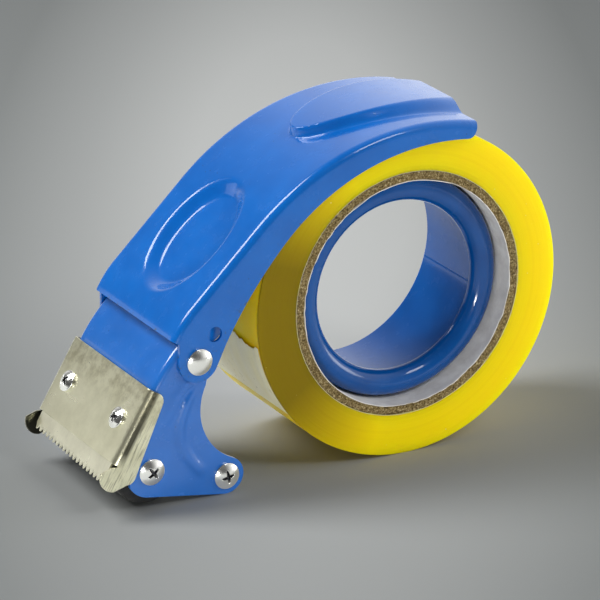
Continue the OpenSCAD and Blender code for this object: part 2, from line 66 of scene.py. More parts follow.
ROOF_GAP = 1.5
ARCH_R = 85.5
ARCH_BACK = 4.0
ARCH_REAR_TURN = math.radians(12.4)
ARCH_TURN = math.radians(44.5)
STRAIGHT = 34.2
LIP_R = 35.0
LIP_TURN = math.radians(18.5)
FLANGE_REAR = 5.6
FLANGE_MID = 10.9
FLANGE_EAR = 17.3
FLANGE_CORNER = 2.6
EAR_R = 6.9
RIVET_BACK = 9.0
RIVET_DROP = 7.9

FACE_TURN = math.radians(59.7)
FACE_FRONT = 16.7
FACE_DROP = 6.6
BOW_R = 60.0
BOW_TURN = math.radians(13.7)
TONGUE_LEN = 8.5
TONGUE_SIDE = 9.0
PANEL_LEN = 18.5
GUARD_T = 0.8
BLADE_T = 0.6
ROLLER_R = 11.6
ROLLER_DOWN = 5.3
ROLLER_PLAY = 1.5
GUIDE_BACK = 10.4
BOSS_R = 8.6
HEEL_R = 6.2
NECK_R = 19.8
NECK_ANGLE = 66

# Radii about the hub axis
CORE_R = CORE_BORE_R + CORE_WALL
LINER_R = CORE_BORE_R + LINER_T
DRUM_R = CORE_BORE_R - CORE_PLAY
DRUM_BORE = DRUM_R - DRUM_T

# Places across the tape, from its middle
CHEEK_IN = HALF_TAPE + CHEEK_GAP
CHEEK_OUT = CHEEK_IN + SHEET
FLANGE_IN = CHEEK_OUT + HEAD_PLAY
FLANGE_OUT = FLANGE_IN + SHEET
PLATE_IN = FLANGE_IN - SHEET

# The handle's top line is measured forward from the arch's top
ARCH_REAR = ARCH_R * ARCH_REAR_TURN
ARCH_FRONT = ARCH_R * ARCH_TURN
ARCH_C = np.array([ARCH_BACK, ROLL_R + ROOF_GAP + SHEET - ARCH_R])
LIP_LEN = LIP_R * LIP_TURN
HANDLE_FRONT = ARCH_FRONT + STRAIGHT + LIP_LEN


def heading(turn):
    """Unit vector forward, down a slope of the top line."""
    return np.array([-math.cos(turn), -math.sin(turn)])


def outward(turn):
    """Unit vector square to that slope, away from the tape."""
    return np.array([-math.sin(turn), math.cos(turn)])


def around(c, r, angle):
    a = math.radians(angle)
    return np.asarray(c) + r * np.array([math.cos(a), math.sin(a)])


def arc(c, r, a, b, n):
    return [around(c, r, a + (b - a) * k / n) for k in range(n + 1)]


def span(a, b, n):
    """Values from a to b in n equal steps."""
    return np.linspace(a, b, n + 1)


def full_circle(steps):
    return np.linspace(0, 2 * math.pi, steps, endpoint=False)


def slope(s):
    if s <= ARCH_FRONT:
        return s / ARCH_R
    return ARCH_TURN + max(0.0, s - ARCH_FRONT - STRAIGHT) / LIP_R


STRAIGHT_FROM = ARCH_C + ARCH_R * outward(ARCH_TURN)
LIP_FROM = STRAIGHT_FROM + STRAIGHT * heading(ARCH_TURN)
LIP_C = LIP_FROM - LIP_R * outward(ARCH_TURN)


def top_line(s):
    if s <= ARCH_FRONT:
        return ARCH_C + ARCH_R * outward(slope(s))
    if s <= ARCH_FRONT + STRAIGHT:
        return STRAIGHT_FROM + (s - ARCH_FRONT) * heading(ARCH_TURN)
    return LIP_C + LIP_R * outward(slope(s))


FRONT_EDGE = top_line(HANDLE_FRONT)
RIVET = FRONT_EDGE + [RIVET_BACK, -RIVET_DROP]
GUIDE_C = np.array([RIVET[0] + GUIDE_BACK, HEEL_R - ROLL_R])
FACE_TOP = RIVET - [FACE_FRONT, FACE_DROP]
FACE_DOWN = heading(FACE_TURN)
FACE_OUT = outward(FACE_TURN)
PANEL_W = GUARD_T + BLADE_T


def face(d, w):
    """Point at d down the face of the guard and w in behind it."""
    return FACE_TOP + d * FACE_DOWN - w * FACE_OUT


ROLLER_C = face(PANEL_LEN + ROLLER_DOWN, PANEL_W + ROLLER_PLAY + ROLLER_R)
BOW_C = face(0, PANEL_W + BOW_R)
TONGUE_TURN = FACE_TURN - BOW_TURN
TONGUE_FROM = BOW_C + BOW_R * outward(TONGUE_TURN)
TONGUE_END = TONGUE_FROM - TONGUE_LEN * heading(TONGUE_TURN)
NECK_C = around(GUIDE_C, HEEL_R + NECK_R, NECK_ANGLE)


# Materials. Noise scales are in waves per metre and heights of bumps in millimetres.
def material(name, color, metallic=0.0, rough=0.5, **sockets):
    m = bpy.data.materials.new(name)
    m.use_nodes = True
    inputs = m.node_tree.nodes["Principled BSDF"].inputs
    sockets.update(Base_Color=(*color, 1), Metallic=metallic, Roughness=rough)
    for key, value in sockets.items():
        inputs[key.replace("_", " ")].default_value = value
    return m


class Graph:
    """Short names for the shader nodes of a material or of the world."""

    def __init__(self, owner, shader="Principled BSDF", coord="Object"):
        self.t = owner.node_tree
        self.shader = self.t.nodes[shader]
        self.coord = self.node("TexCoord").outputs[coord]

    def node(self, kind, **inputs):
        n = self.t.nodes.new("ShaderNode" + kind)
        for name, value in inputs.items():
            self.give(n.inputs[name], value)
        return n

    def give(self, socket, value):
        """Links a socket to an output of another node, or sets its value."""
        if isinstance(value, bpy.types.NodeSocket):
            self.t.links.new(value, socket)
        else:
            socket.default_value = value

    def set(self, name, value):
        self.give(self.shader.inputs[name], value)

    def place(self, scale=(1, 1, 1), shift=(0, 0, 0)):
        return self.node("Mapping", Vector=self.coord, Scale=scale, Location=shift).outputs["Vector"]

    def noise(self, scale, detail, rough=0.5, vector=None):
        n = self.node("TexNoise", Vector=vector or self.coord, Scale=scale, Detail=detail, Roughness=rough)
        return n.outputs["Fac"]

    def vector(self, operation, a, b=None):
        """Vector maths on a linked vector and, for some operations, a fixed one."""
        n = self.node("VectorMath")
        n.operation = operation
        self.give(n.inputs[0], a)
        if b is not None:
            self.give(n.inputs[1], b)
        return n.outputs["Value" if operation in ("LENGTH", "DOT_PRODUCT") else "Vector"]

    def along(self, x, y, z):
        """How far a point lies along a direction, in millimetres."""
        return self.vector("DOT_PRODUCT", self.coord, (x / MM, y / MM, z / MM))

    def axis_distance(self):
        """Distance from the Y axis, in metres."""
        return self.vector("LENGTH", self.vector("MULTIPLY", self.coord, (1, 0, 1)))

    def rings(self, scale, detail):
        """Noise that changes with the distance from the Y axis alone."""
        n = self.node("TexNoise", Scale=scale, Detail=detail)
        n.noise_dimensions = "1D"
        self.give(n.inputs["W"], self.axis_distance())
        return n.outputs["Fac"]

    def cells(self, scale):
        return self.node("TexVoronoi", Vector=self.coord, Scale=scale).outputs["Distance"]

    def ramp(self, value, *stops):
        """Colour ramp whose stops are each a place and a colour."""
        n = self.node("ValToRGB", Fac=value)
        while len(n.color_ramp.elements) < len(stops):
            n.color_ramp.elements.new(0.5)
        for e, (at, color) in zip(n.color_ramp.elements, stops):
            e.position = at
            e.color = (*color, 1)
        return n.outputs["Color"]

    def remap(self, value, a, b, c=0.0, d=1.0):
        """Maps values between a and b to values between c and d."""
        n = self.node("MapRange", Value=value)
        for i, v in enumerate((a, b, c, d)):
            n.inputs[i + 1].default_value = v
        return n.outputs["Result"]

    def band(self, value, rise, fall):
        """1 between two limits, with a fade at each, given as pairs."""
        return self.multiply(self.remap(value, *rise), self.remap(value, *fall[::-1]))

    def math(self, operation, a, b=0.0):
        n = self.node("Math")
        n.operation = operation
        self.give(n.inputs[0], a)
        self.give(n.inputs[1], b)
        return n.outputs["Value"]

    def multiply(self, a, b):
        return self.math("MULTIPLY", a, b)

    def mix(self, share, a, b):
        n = self.node("Mix")
        n.data_type = "RGBA"
        for name, v in (("Factor", share), ("A", a), ("B", b)):
            self.give(n.inputs[name], (*v, 1) if isinstance(v, tuple) else v)
        return n.outputs["Result"]

    def attribute(self, name):
        n = self.node("Attribute")
        n.attribute_name = name
        return n.outputs["Fac"]

    def bump(self, height, distance, strength, normal=None):
        n = self.node("Bump", Height=height, Distance=distance * MM, Strength=strength)
        if normal:
            self.give(n.inputs["Normal"], normal)
        return n.outputs["Normal"]


DIRT = (0.012, 0.03, 0.07)
BARE_RIM = (0.05, 0.075, 0.10)


def paint(name, color, dark, sheen):
    """Gloss enamel on steel: orange peel, faint clouding, specks of dirt and worn rims."""
    m = material(name, color, rough=0.2, Specular_IOR_Level=sheen, Coat_Weight=0.7,
                 Coat_Roughness=0.06)
    g = Graph(m)
    base = g.mix(g.remap(g.noise(70, 3), 0.35, 0.7), color, dark)
    dots = g.remap(g.cells(420), 0.09, 0.05)
    rare = g.remap(g.noise(95, 2), 0.6, 0.64)
    specks = g.multiply(dots, rare)
    base = g.mix(specks, base, DIRT)
    worn = g.multiply(g.attribute("rim"), g.remap(g.noise(650, 4, 0.7), 0.58, 0.64))
    g.set("Base Color", g.mix(worn, base, BARE_RIM))
    g.set("Roughness", g.remap(g.noise(240, 4), 0.3, 0.7, 0.17, 0.30))
    peel = g.bump(g.noise(520, 2), 0.02, 0.35)
    g.set("Normal", g.bump(g.math("SUBTRACT", 1.0, specks), 0.04, 0.5, peel))
    return m


# Marks of the guard, its stains and its painted shade: places behind its face, down its face and across,
# each a fade
BEND_DARK_REFLECTION = ((0.5, 1.0), (2.8, 4.0))
BEND_DARK_REFLECTION_END = (21.5, 26.5)
DULL_EDGE = (5.0, 12.0)
WING_FADE = (CHEEK_OUT, CHEEK_OUT + 0.5)
FAR_WING_SHADE_SPAN = ((CHEEK_OUT - 0.6, CHEEK_OUT), (CHEEK_OUT + 0.4, CHEEK_OUT + 0.7))
STREAK_STRETCH = 0.07
STREAK_GREY = (0.16, 0.14, 0.085)
# Colour of the painted dark reflection along the guard's bend
BEND_PAINTED_REFLECTION = (0.03, 0.028, 0.02)
STAIN_DULL = (0.42, 0.39, 0.25)
# Colour of the painted shade on the guard's far wing
FAR_WING_PAINTED_SHADE = (0.03, 0.03, 0.022)


def tarnish_and_painted_shade(g, base):
    """Streaked wings and a dull upper edge on the guard, a painted dark reflection along its bend and
    painted shade on its far wing.
    """
    behind = g.along(-FACE_OUT[0], 0, -FACE_OUT[1])
    down = g.along(FACE_DOWN[0], 0, FACE_DOWN[1])
    across = g.along(0, 1, 0)
    face_at = float(-FACE_TOP @ FACE_OUT)
    top_at = float(FACE_TOP @ FACE_DOWN)
    wing = g.remap(g.math("ABSOLUTE", across), *WING_FADE)
    stretched = g.node("CombineXYZ", X=behind, Z=g.multiply(down, STREAK_STRETCH))
    streak = g.noise(1500 * MM, 4, 0.65, stretched.outputs["Vector"])
    base = g.mix(g.multiply(wing, g.remap(streak, 0.5, 0.66, 0, 0.7)), base, STREAK_GREY)
    # Painted dark reflection along the bend of the guard
    rise, fall = [[face_at + v for v in limits] for limits in BEND_DARK_REFLECTION]
    bend = g.multiply(wing, g.band(behind, rise, fall))
    bend = g.multiply(bend, g.remap(down, *[top_at + v for v in BEND_DARK_REFLECTION_END[::-1]]))
    base = g.mix(g.multiply(bend, g.remap(streak, 0.3, 0.6, 1, 0.85)), base, BEND_PAINTED_REFLECTION)
    near_top = g.remap(down, *[top_at + v for v in DULL_EDGE[::-1]])
    dull = g.multiply(near_top, g.remap(g.noise(260, 5, 0.7), 0.42, 0.66))
    base = g.mix(g.multiply(dull, 0.7), base, STAIN_DULL)
    # Painted shade on the far wing, which faces down and away from the lamps
    return g.mix(g.multiply(g.band(across, *FAR_WING_SHADE_SPAN), 0.95), base, FAR_WING_PAINTED_SHADE)


# Colour of the painted shade in the recess of a screw head
RECESS_PAINTED_SHADE = (0.02, 0.022, 0.03)


def brushed(name, color, dark, rough, stretch, grain=0.35, stain_and_shade=None):
    """Plated or ground steel with fine streaks, a few scratches and dull patches, and painted shade in the
    recess of a screw head.
    """
    m = material(name, color, 1.0, rough)
    g = Graph(m)
    streaks = g.noise(900, 4, 0.6, g.place(stretch))
    fine = g.noise(2600, 3, 0.6, g.place(stretch))
    patches = g.noise(130, 4, 0.6)
    base = g.mix(g.remap(patches, 0.35, 0.75), color, dark)
    base = g.mix(g.remap(streaks, 0.62, 0.8, 0, grain), base, dark)
    if stain_and_shade:
        base = stain_and_shade(g, base)
    # Painted shade in the recess of a screw head
    g.set("Base Color", g.mix(g.attribute("recess"), base, RECESS_PAINTED_SHADE))
    streaky = g.remap(streaks, 0.2, 0.8, rough - 0.25 * grain, rough + 0.3 * grain)
    g.set("Roughness", g.math("ADD", streaky, g.remap(patches, 0.3, 0.8, -0.03, 0.06)))
    g.set("Normal", g.bump(fine, 0.01, 0.5, g.bump(streaks, 0.02, 0.4)))
    return m


def rubber_material():
    m = material("black_rubber", (0.012, 0.012, 0.012), rough=0.55, Specular_IOR_Level=0.4)
    g = Graph(m)
    dusty = g.remap(g.noise(300, 4, 0.6), 0.45, 0.8)
    g.set("Base Color", g.mix(dusty, (0.011, 0.011, 0.011), (0.035, 0.034, 0.032)))
    g.set("Roughness", g.remap(g.noise(500, 3), 0.3, 0.7, 0.42, 0.68))
    g.set("Normal", g.bump(g.noise(2400, 3), 0.03, 0.5))
    return m


def plastic_material(name, color):
    m = material(name, color, rough=0.5)
    g = Graph(m)
    low = tuple(c * 0.8 for c in color)
    g.set("Base Color", g.mix(g.remap(g.noise(200, 3), 0.4, 0.7), color, low))
    g.set("Normal", g.bump(g.noise(1800, 2), 0.02, 0.5))
    return m


def board_material():
    """Grey-brown board cut across its plies: fibres, dark pits and pale fluff."""
    m = material("grey_board", (0.32, 0.25, 0.12), rough=0.9, Specular_IOR_Level=0.15)
    g = Graph(m)
    fibre = g.noise(1500, 5, 0.7)
    blotch = g.remap(g.noise(420, 4, 0.7), 0.55, 0.75, 0, 0.6)
    base = g.ramp(fibre, (0.34, (0.02, 0.012, 0.004)), (0.46, (0.16, 0.11, 0.04)),
                  (0.57, (0.30, 0.225, 0.10)), (0.68, (0.62, 0.53, 0.32)))
    g.set("Base Color", g.mix(blotch, base, (0.18, 0.125, 0.05)))
    g.set("Normal", g.bump(fibre, 0.5, 0.9))
    return m


def paper_material():
    m = material("white_paper", (0.72, 0.70, 0.68), rough=0.6, Specular_IOR_Level=0.3)
    g = Graph(m)
    grey = g.remap(g.noise(160, 5, 0.6), 0.4, 0.7)
    g.set("Base Color", g.mix(grey, (0.90, 0.87, 0.80), (0.72, 0.68, 0.62)))
    g.set("Normal", g.bump(g.noise(700, 4), 0.08, 0.6))
    return m


FILM = (0.96, 0.72, 0.002)
FILM_RING = (0.90, 0.65, 0.0015)
FILM_DEEP = (0.82, 0.56, 0.002)
# Colour of the painted shade on the end faces under the handle
FILM_PAINTED_SHADE = (0.15, 0.10, 0.002)
FILM_FIRST = (0.88, 0.78, 0.38)
FILM_SPECK = (0.95, 0.88, 0.45)
# Side of the roll where its end faces get painted shade, under the handle's overhang
SHADED_SIDE = (-1, 0, -0.12)
# Distances of the pale first layer's edge from the core
FIRST_LAYER = (0.10, 0.22)


def film_face_material():
    """End face of the wound film: thin rings, a pale first layer, light that soaks in, specks, and painted
    shade towards the handle.
    """
    m = material("yellow_film", (0.93, 0.72, 0.004), rough=0.38, Specular_IOR_Level=0.12,
                 Subsurface_Weight=0.75, Subsurface_Scale=0.011, Subsurface_Radius=(1, 0.8, 0.03))
    g = Graph(m)
    fine = g.rings(9000, 2)
    base = g.mix(g.remap(fine, 0.3, 0.7), FILM, FILM_RING)
    base = g.mix(g.remap(g.rings(900, 3), 0.5, 0.75, 0, 0.25), base, FILM_DEEP)
    # Painted shade on the end faces towards the side under the handle
    toward_shaded_side = g.vector("DOT_PRODUCT", g.vector("NORMALIZE", g.place((1, 0, 1))), SHADED_SIDE)
    end = g.remap(g.math("ABSOLUTE", g.along(0, 1, 0)), HALF_TAPE - 1.5, HALF_TAPE - 0.5)
    base = g.mix(g.multiply(end, g.remap(toward_shaded_side, 0.35, 0.9, 0, 0.9)), base, FILM_PAINTED_SHADE)
    inner, outer = [(CORE_R + v) * MM for v in FIRST_LAYER]
    base = g.mix(g.remap(g.axis_distance(), outer, inner), base, FILM_FIRST)
    speck = g.multiply(g.remap(g.cells(330), 0.07, 0.045), g.remap(g.noise(60, 2), 0.55, 0.6))
    g.set("Base Color", g.mix(speck, base, FILM_SPECK))
    g.set("Normal", g.bump(speck, 0.1, 0.6, g.bump(fine, 0.01, 0.3)))
    return m


def cream_material():
    """Single layer of film seen from its back: pale, silky and a little creased."""
    m = material("cream_film", (0.96, 0.93, 0.68), rough=0.45, Specular_IOR_Level=0.1)
    g = Graph(m)
    crease = g.noise(120, 4, 0.55, g.place((0.4, 1, 0.4)))
    g.set("Base Color", g.mix(g.remap(crease, 0.35, 0.7), (0.97, 0.93, 0.66), (0.92, 0.86, 0.52)))
    g.set("Roughness", g.remap(g.noise(300, 3), 0.3, 0.7, 0.26, 0.42))
    g.set("Normal", g.bump(crease, 0.4, 0.7))
    return m


# Blender adds a number to a name that a CAD material has already
SLOT_LOOK = {m.name.split(".")[0]: m for m in (
    paint("blue_paint", (0.002, 0.126, 0.49), (0.0015, 0.106, 0.43), sheen=0.2),
    # The drum's enamel is painted darker than the handle's, as painted shade inside the roll's core
    paint("drum_paint", (0.002, 0.075, 0.30), (0.001, 0.06, 0.25), sheen=0.1),
    brushed("nickel_plate", (0.86, 0.84, 0.62), (0.70, 0.68, 0.48), rough=0.30,
            stretch=(1, 0.06, 1), grain=0.1, stain_and_shade=tarnish_and_painted_shade),
    brushed("blade_steel", (0.90, 0.88, 0.68), (0.72, 0.70, 0.54), rough=0.32, stretch=(0.08, 1, 0.08)),
    brushed("screw_steel", (0.97, 0.97, 0.93), (0.80, 0.80, 0.76), rough=0.16, stretch=(1, 1, 1)),
    brushed("axle_steel", (0.55, 0.55, 0.54), (0.40, 0.40, 0.39), rough=0.28, stretch=(1, 0.05, 1)),
    plastic_material("washer", (0.62, 0.62, 0.59)),
    plastic_material("roller_plastic", (0.03, 0.03, 0.033)),
    rubber_material(),
    board_material(),
    paper_material(),
    film_face_material(),
    cream_material(),
)}
# The head's enamel is painted a little paler than the handle's, as painted light where the head faces the
# lamps
HEAD_LIT_LOOK = paint("head_paint_lit", (0.012, 0.14, 0.52), (0.008, 0.12, 0.46), sheen=0.5)

slot_of = {s["node"]: s["material_slot"] for s in frame["record"]["subparts"]}
body_of = {n: b for b, ns in frame["record"]["behaviour"]["bodies"].items() for n in ns}
for node_name, node in frame["nodes"].items():
    node.data.materials.clear()
    node.data.materials.append(SLOT_LOOK[slot_of[node_name]])


# Helpers that make meshes
def mesh_of(name, points, faces):
    """Mesh of points in metres, with its faces turned outward."""
    me = bpy.data.meshes.new(name)
    me.from_pydata(points.tolist(), [], faces)
    bm = bmesh.new()
    bm.from_mesh(me)
    bmesh.ops.recalc_face_normals(bm, faces=bm.faces)
    bm.to_mesh(me)
    bm.free()
    return me


def stand_for(o, node):
    """Lets a piece replace a CAD node and move with its body."""
    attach(o, body_of[node])
    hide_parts(node)


def stand_in(name, me, node, crisp):
    """Piece of a mesh, smooth where its faces meet below an angle."""
    o = bpy.data.objects.new(name, me)
    scene.collection.objects.link(o)
    me.materials.append(HEAD_LIT_LOOK if node == "front_frame" else SLOT_LOOK[slot_of[node]])
    me.shade_smooth()
    me.set_sharp_from_angle(angle=math.radians(crisp))
    stand_for(o, node)
    return o


def add_mesh(name, points, faces, node, crisp=35):
    """Piece made of points in millimetres."""
    points = np.asarray(points, float).reshape(-1, 3) * MM
    return stand_in(name, mesh_of(name, points, faces), node, crisp)


def rounded(o, width, segments, angle):
    """Rounds the sharp edges of a piece by a width in millimetres."""
    mod = o.modifiers.new("rounded", "BEVEL")
    mod.width = width * MM
    mod.segments = segments
    mod.limit_method = "ANGLE"
    mod.angle_limit = math.radians(angle)
    mod.harden_normals = True
    mod.use_clamp_overlap = True


# Points of a CAD mesh that lie closer than this are one, in metres
WELD = 2e-6
FLAT_ANGLE = 0.6
SHARP_ANGLE = 40


def dressed(node, width):
    """Copies a CAD node, cleans its triangles and rounds its sharp edges."""
    o = frame["nodes"][node].copy()
    o.data = o.data.copy()
    o.name = node + "_piece"
    for key in list(o.keys()):
        if key.startswith("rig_"):
            del o[key]
    o.parent = None
    scene.collection.objects.link(o)
    bm = bmesh.new()
    bm.from_mesh(o.data)
    bmesh.ops.remove_doubles(bm, verts=bm.verts, dist=WELD)
    bmesh.ops.dissolve_limit(bm, angle_limit=math.radians(FLAT_ANGLE), verts=bm.verts, edges=bm.edges)
    bm.normal_update()
    for f in bm.faces:
        f.smooth = True
    for e in bm.edges:
        e.smooth = len(e.link_faces) == 2 and e.calc_face_angle() < math.radians(SHARP_ANGLE)
    bm.to_mesh(o.data)
    bm.free()
    stand_for(o, node)
    rounded(o, width, 2, SHARP_ANGLE)


def grid_faces(rows, cols, offset=0, wrap_rows=False, wrap_cols=False):
    """Quads of a grid of points that was written row by row."""
    i, j = np.meshgrid(np.arange(rows if wrap_rows else rows - 1),
                       np.arange(cols if wrap_cols else cols - 1), indexing="ij")
    i2, j2 = (i + 1) % rows, (j + 1) % cols
    quads = np.stack([i * cols + j, i * cols + j2, i2 * cols + j2, i2 * cols + j], -1)
    return (quads.reshape(-1, 4) + offset).tolist()


def shell_faces(rows, cols):
    """Faces of a sheet: an outer grid, then an inner one, and the rim between them."""
    n = rows * cols
    grid = np.arange(n).reshape(rows, cols)
    loop = np.concatenate([grid[0], grid[1:, -1], grid[-1, -2::-1], grid[-2:0:-1, 0]])
    after = np.roll(loop, -1)
    rim = np.stack([loop, after, after + n, loop + n], -1).tolist()
    return grid_faces(rows, cols) + grid_faces(rows, cols, n) + rim


def tube_faces(rows, cols):
    """Faces of a grid of rings, with one more face on each end."""
    last = (rows - 1) * cols
    ends = [list(range(cols)), list(range(last, last + cols))]
    return grid_faces(rows, cols, wrap_cols=True) + ends


def add_attribute(o, name, values):
    layer = o.data.attributes.new(name, "FLOAT", "POINT")
    layer.data.foreach_set("value", np.asarray(values, np.float32))


def noise_line(n, smooth, seed):
    """Seeded noise around a ring, smoothed over some steps, with spread 1."""
    v = np.random.default_rng(seed).normal(size=n)
    k = np.fft.rfftfreq(n) * smooth
    v = np.fft.irfft(np.fft.rfft(v) * np.exp(-k * k * 8), n)
    return v / v.std()


def noise_sheet(rows, cols, smooth_rows, smooth_cols, seed):
    """Seeded noise on a grid, smoothed over some rows and columns, with spread 1."""
    v = np.random.default_rng(seed).normal(size=(rows, cols))
    a = (np.fft.fftfreq(rows) * smooth_rows)[:, None]
    b = (np.fft.fftfreq(cols) * smooth_cols)[None, :]
    v = np.real(np.fft.ifft2(np.fft.fft2(v) * np.exp(-8 * (a * a + b * b))))
    return v / v.std()


def lathe(node, profile, centre=(0, 0), steps=256, change=None, crisp=35):
    """Turns a closed profile of (r, y) points about an axis along Y."""
    profile = np.asarray(profile, float)
    a = full_circle(steps)[:, None]
    r, y = profile[:, 0] + 0 * a, profile[:, 1] + 0 * a
    if change:
        r, y = change(r, y, a)
    points = np.stack([centre[0] + r * np.cos(a), y, centre[1] + r * np.sin(a)], -1)
    faces = grid_faces(steps, len(profile), wrap_rows=True, wrap_cols=True)
    add_mesh(node + "_piece", points, faces, node, crisp)


def soft(f):
    """Smooth step from 0 to 1."""
    f = min(1.0, max(0.0, f))
    return f * f * (3 - 2 * f)


# Handle: thumb rest and palm swell
DISH_LEN = 46.0
DISH_W = 34.0
DISH_DEPTH = 3.2
DISH_FROM_FRONT = 32.0
DISH_FLAT_SHARE = 0.7
SWELL_LEN = 53.5
SWELL_W = 37.0
SWELL_H = 3.2
CROWN_LEN = 63.0
CROWN_W = 24.4
CROWN_FRONT = 2.0


def relief(s, y):
    """Height of the palm swell less the depth of the thumb rest."""
    foot = SWELL_W / 2 * (1 - math.hypot((s + ARCH_REAR) / SWELL_LEN, 2 * y / SWELL_W))
    crown = CROWN_W / 2 * (math.hypot(2 * (s - CROWN_FRONT) / CROWN_LEN, 2 * y / CROWN_W) - 1)
    swell = soft(foot / (foot + max(0.0, crown))) if foot > 0 else 0.0
    from_middle = s - HANDLE_FRONT + DISH_FROM_FRONT
    rho = math.hypot(2 * from_middle / DISH_LEN, 2 * y / DISH_W)
    return SWELL_H * swell - DISH_DEPTH * soft((1 - rho) / (1 - DISH_FLAT_SHARE))


FLANGE_GROW = (FLANGE_MID - FLANGE_REAR) / (ARCH_FRONT + ARCH_REAR)
FLANGE_GAIN = (FLANGE_EAR - FLANGE_MID - FLANGE_GROW * STRAIGHT) / STRAIGHT ** 2


def flange_low(s):
    """Lower edge of the flange, with its round rear corner."""
    full = FLANGE_REAR + FLANGE_GROW * (s + ARCH_REAR) + FLANGE_GAIN * max(0.0, s - ARCH_FRONT) ** 2
    d = min(FLANGE_CORNER, max(0.0, FLANGE_CORNER - s - ARCH_REAR))
    corner_cut = FLANGE_CORNER - math.sqrt(max(0.0, FLANGE_CORNER ** 2 - d ** 2))
    return top_line(s) - (full - corner_cut) * outward(slope(s))


EAR_ANGLES = (-29, -178)
CORNER_STEPS = 7
ARCH_STEPS = 159
STRAIGHT_STEPS = 59
EAR_STEPS = 26
WALL_STEPS = 6
BEND_STEPS = 7
ROOF_STEPS = 120


def handle_stations():
    """Places on the top line, each with the lower end of the flange in side view."""
    corner_end = FLANGE_CORNER - ARCH_REAR
    places = [*span(-ARCH_REAR, corner_end, CORNER_STEPS)[:-1],
              *span(corner_end, ARCH_FRONT, ARCH_STEPS)[:-1],
              *span(ARCH_FRONT, ARCH_FRONT + STRAIGHT, STRAIGHT_STEPS)]
    ear = arc(RIVET, EAR_R, *EAR_ANGLES, EAR_STEPS - 1)
    lip = span(ARCH_FRONT + STRAIGHT, HANDLE_FRONT, EAR_STEPS)[1:]
    return [(s, flange_low(s)) for s in places] + list(zip(lip, ear))


def handle_row(station, off):
    """Points across the sheet at a station, off = 0 outside and SHEET inside."""
    s, foot = station
    p, n = top_line(s), outward(slope(s))
    flat_y = FLANGE_OUT - BEND_R
    root = p - BEND_R * n
    side = []
    for k in range(WALL_STEPS):
        q = foot + (root - foot) * k / WALL_STEPS
        side.append((q[0], FLANGE_OUT - off, q[1]))
    for k in range(BEND_STEPS):
        a = math.radians(90 - 90 * k / BEND_STEPS)
        q = p - (BEND_R - (BEND_R - off) * math.cos(a)) * n
        side.append((q[0], flat_y + (BEND_R - off) * math.sin(a), q[1]))
    roof = []
    for y in span(flat_y, -flat_y, ROOF_STEPS):
        q = p + (relief(s, y) - off) * n
        roof.append((q[0], y, q[1]))
    return side + roof + [(x, -y, z) for x, y, z in side[::-1]]


# Every cut runs past what it cuts by this
OVER = 1.0
HOLE_STEPS = 64


def cut(o, centre, r, y0, y1):
    """Cuts a round hole along Y through a piece."""
    a = full_circle(HOLE_STEPS)
    ring = np.stack([centre[0] + r * np.cos(a), 0 * a, centre[1] + r * np.sin(a)], -1)
    points = np.concatenate([ring + [0, y0, 0], ring + [0, y1, 0]]) * MM
    tool = bpy.data.objects.new("cutter", mesh_of("cutter", points, tube_faces(2, HOLE_STEPS)))
    scene.collection.objects.link(tool)
    mod = o.modifiers.new("hole", "BOOLEAN")
    mod.object = tool
    mod.solver = "EXACT"
    bpy.context.view_layer.update()
    done = bpy.data.meshes.new_from_object(o.evaluated_get(bpy.context.evaluated_depsgraph_get()))
    o.modifiers.remove(mod)
    o.data = done
    bpy.data.objects.remove(tool)


# Lanced tab in each flange of the handle
TAB_R = 2.5
TAB_PLAY = 0.3
TAB_LAP = 0.25
TAB_SHARE = 0.68
TAB_ANGLE = 26
# The tongue's edge past its hole, its depth under the flange and its length on the free side
TAB_EDGE = 0.15
TAB_SINK = 0.02
TAB_LONG_SHARE = 1.5
TAB_RINGS = 8
TAB_STEPS = 48
# The tongue's innermost ring, which one more face closes
CENTRE_SHARE = 0.02
TAB_C = (TONGUE_END - TONGUE_SIDE * TAB_SHARE * outward(TONGUE_TURN)
         - (TAB_R + TAB_LAP + TAB_PLAY) * heading(TONGUE_TURN))


def build_handle():
    stations = handle_stations()
    outer = [handle_row(st, 0) for st in stations]
    inner = [handle_row(st, SHEET) for st in stations]
    rows, cols = len(outer), len(outer[0])
    points = [p for row in outer + inner for p in row]
    o = add_mesh("handle_shell_piece", points, shell_faces(rows, cols), "handle_shell")
    from_edge = np.minimum(np.arange(cols), np.arange(cols)[::-1])
    rim = np.zeros((2, rows, cols))
    rim[:] = np.clip(1 - from_edge / 2, 0, 1)
    rim[:, :2] = 1
    rim[:, -2:] = 1
    add_attribute(o, "rim", rim.ravel())
    cut(o, TAB_C, TAB_R, -FLANGE_OUT - OVER, FLANGE_OUT + OVER)
    rounded(o, 0.3, 3, 55)


def build_tab(side, name):
    """Round tongue that leans in from the rear of its hole."""
    a = full_circle(TAB_STEPS)
    reach = TAB_R + TAB_EDGE
    shares = np.linspace(CENTRE_SHARE, 1, TAB_RINGS)
    points = []
    for depth, rings in ((0.0, shares), (SHEET, shares[::-1])):
        for share in rings:
            x, z = reach * share * np.cos(a), reach * share * np.sin(a)
            x = np.where(x > 0, TAB_LONG_SHARE * x, x)
            lean = (x + reach) * math.tan(math.radians(TAB_ANGLE))
            y = side * (FLANGE_OUT - TAB_SINK - lean - depth)
            points.append(np.stack([TAB_C[0] + x, y, TAB_C[1] + z], -1))
    add_mesh("handle_tab_" + name, points, tube_faces(2 * TAB_RINGS, TAB_STEPS), "handle_shell")


build_handle()
build_tab(-1, "near")
build_tab(1, "far")

# Head: outline of a cheek, and the bead and the fold beside it that are pressed out of it
BOSS_FROM_ANGLE = -150
NECK_END_ANGLE = 155
SOLE_ANGLE = math.degrees(math.atan2(*(GUIDE_C - ROLLER_C)[::-1])
                          - math.acos((BOSS_R - HEEL_R) / np.linalg.norm(GUIDE_C - ROLLER_C)))
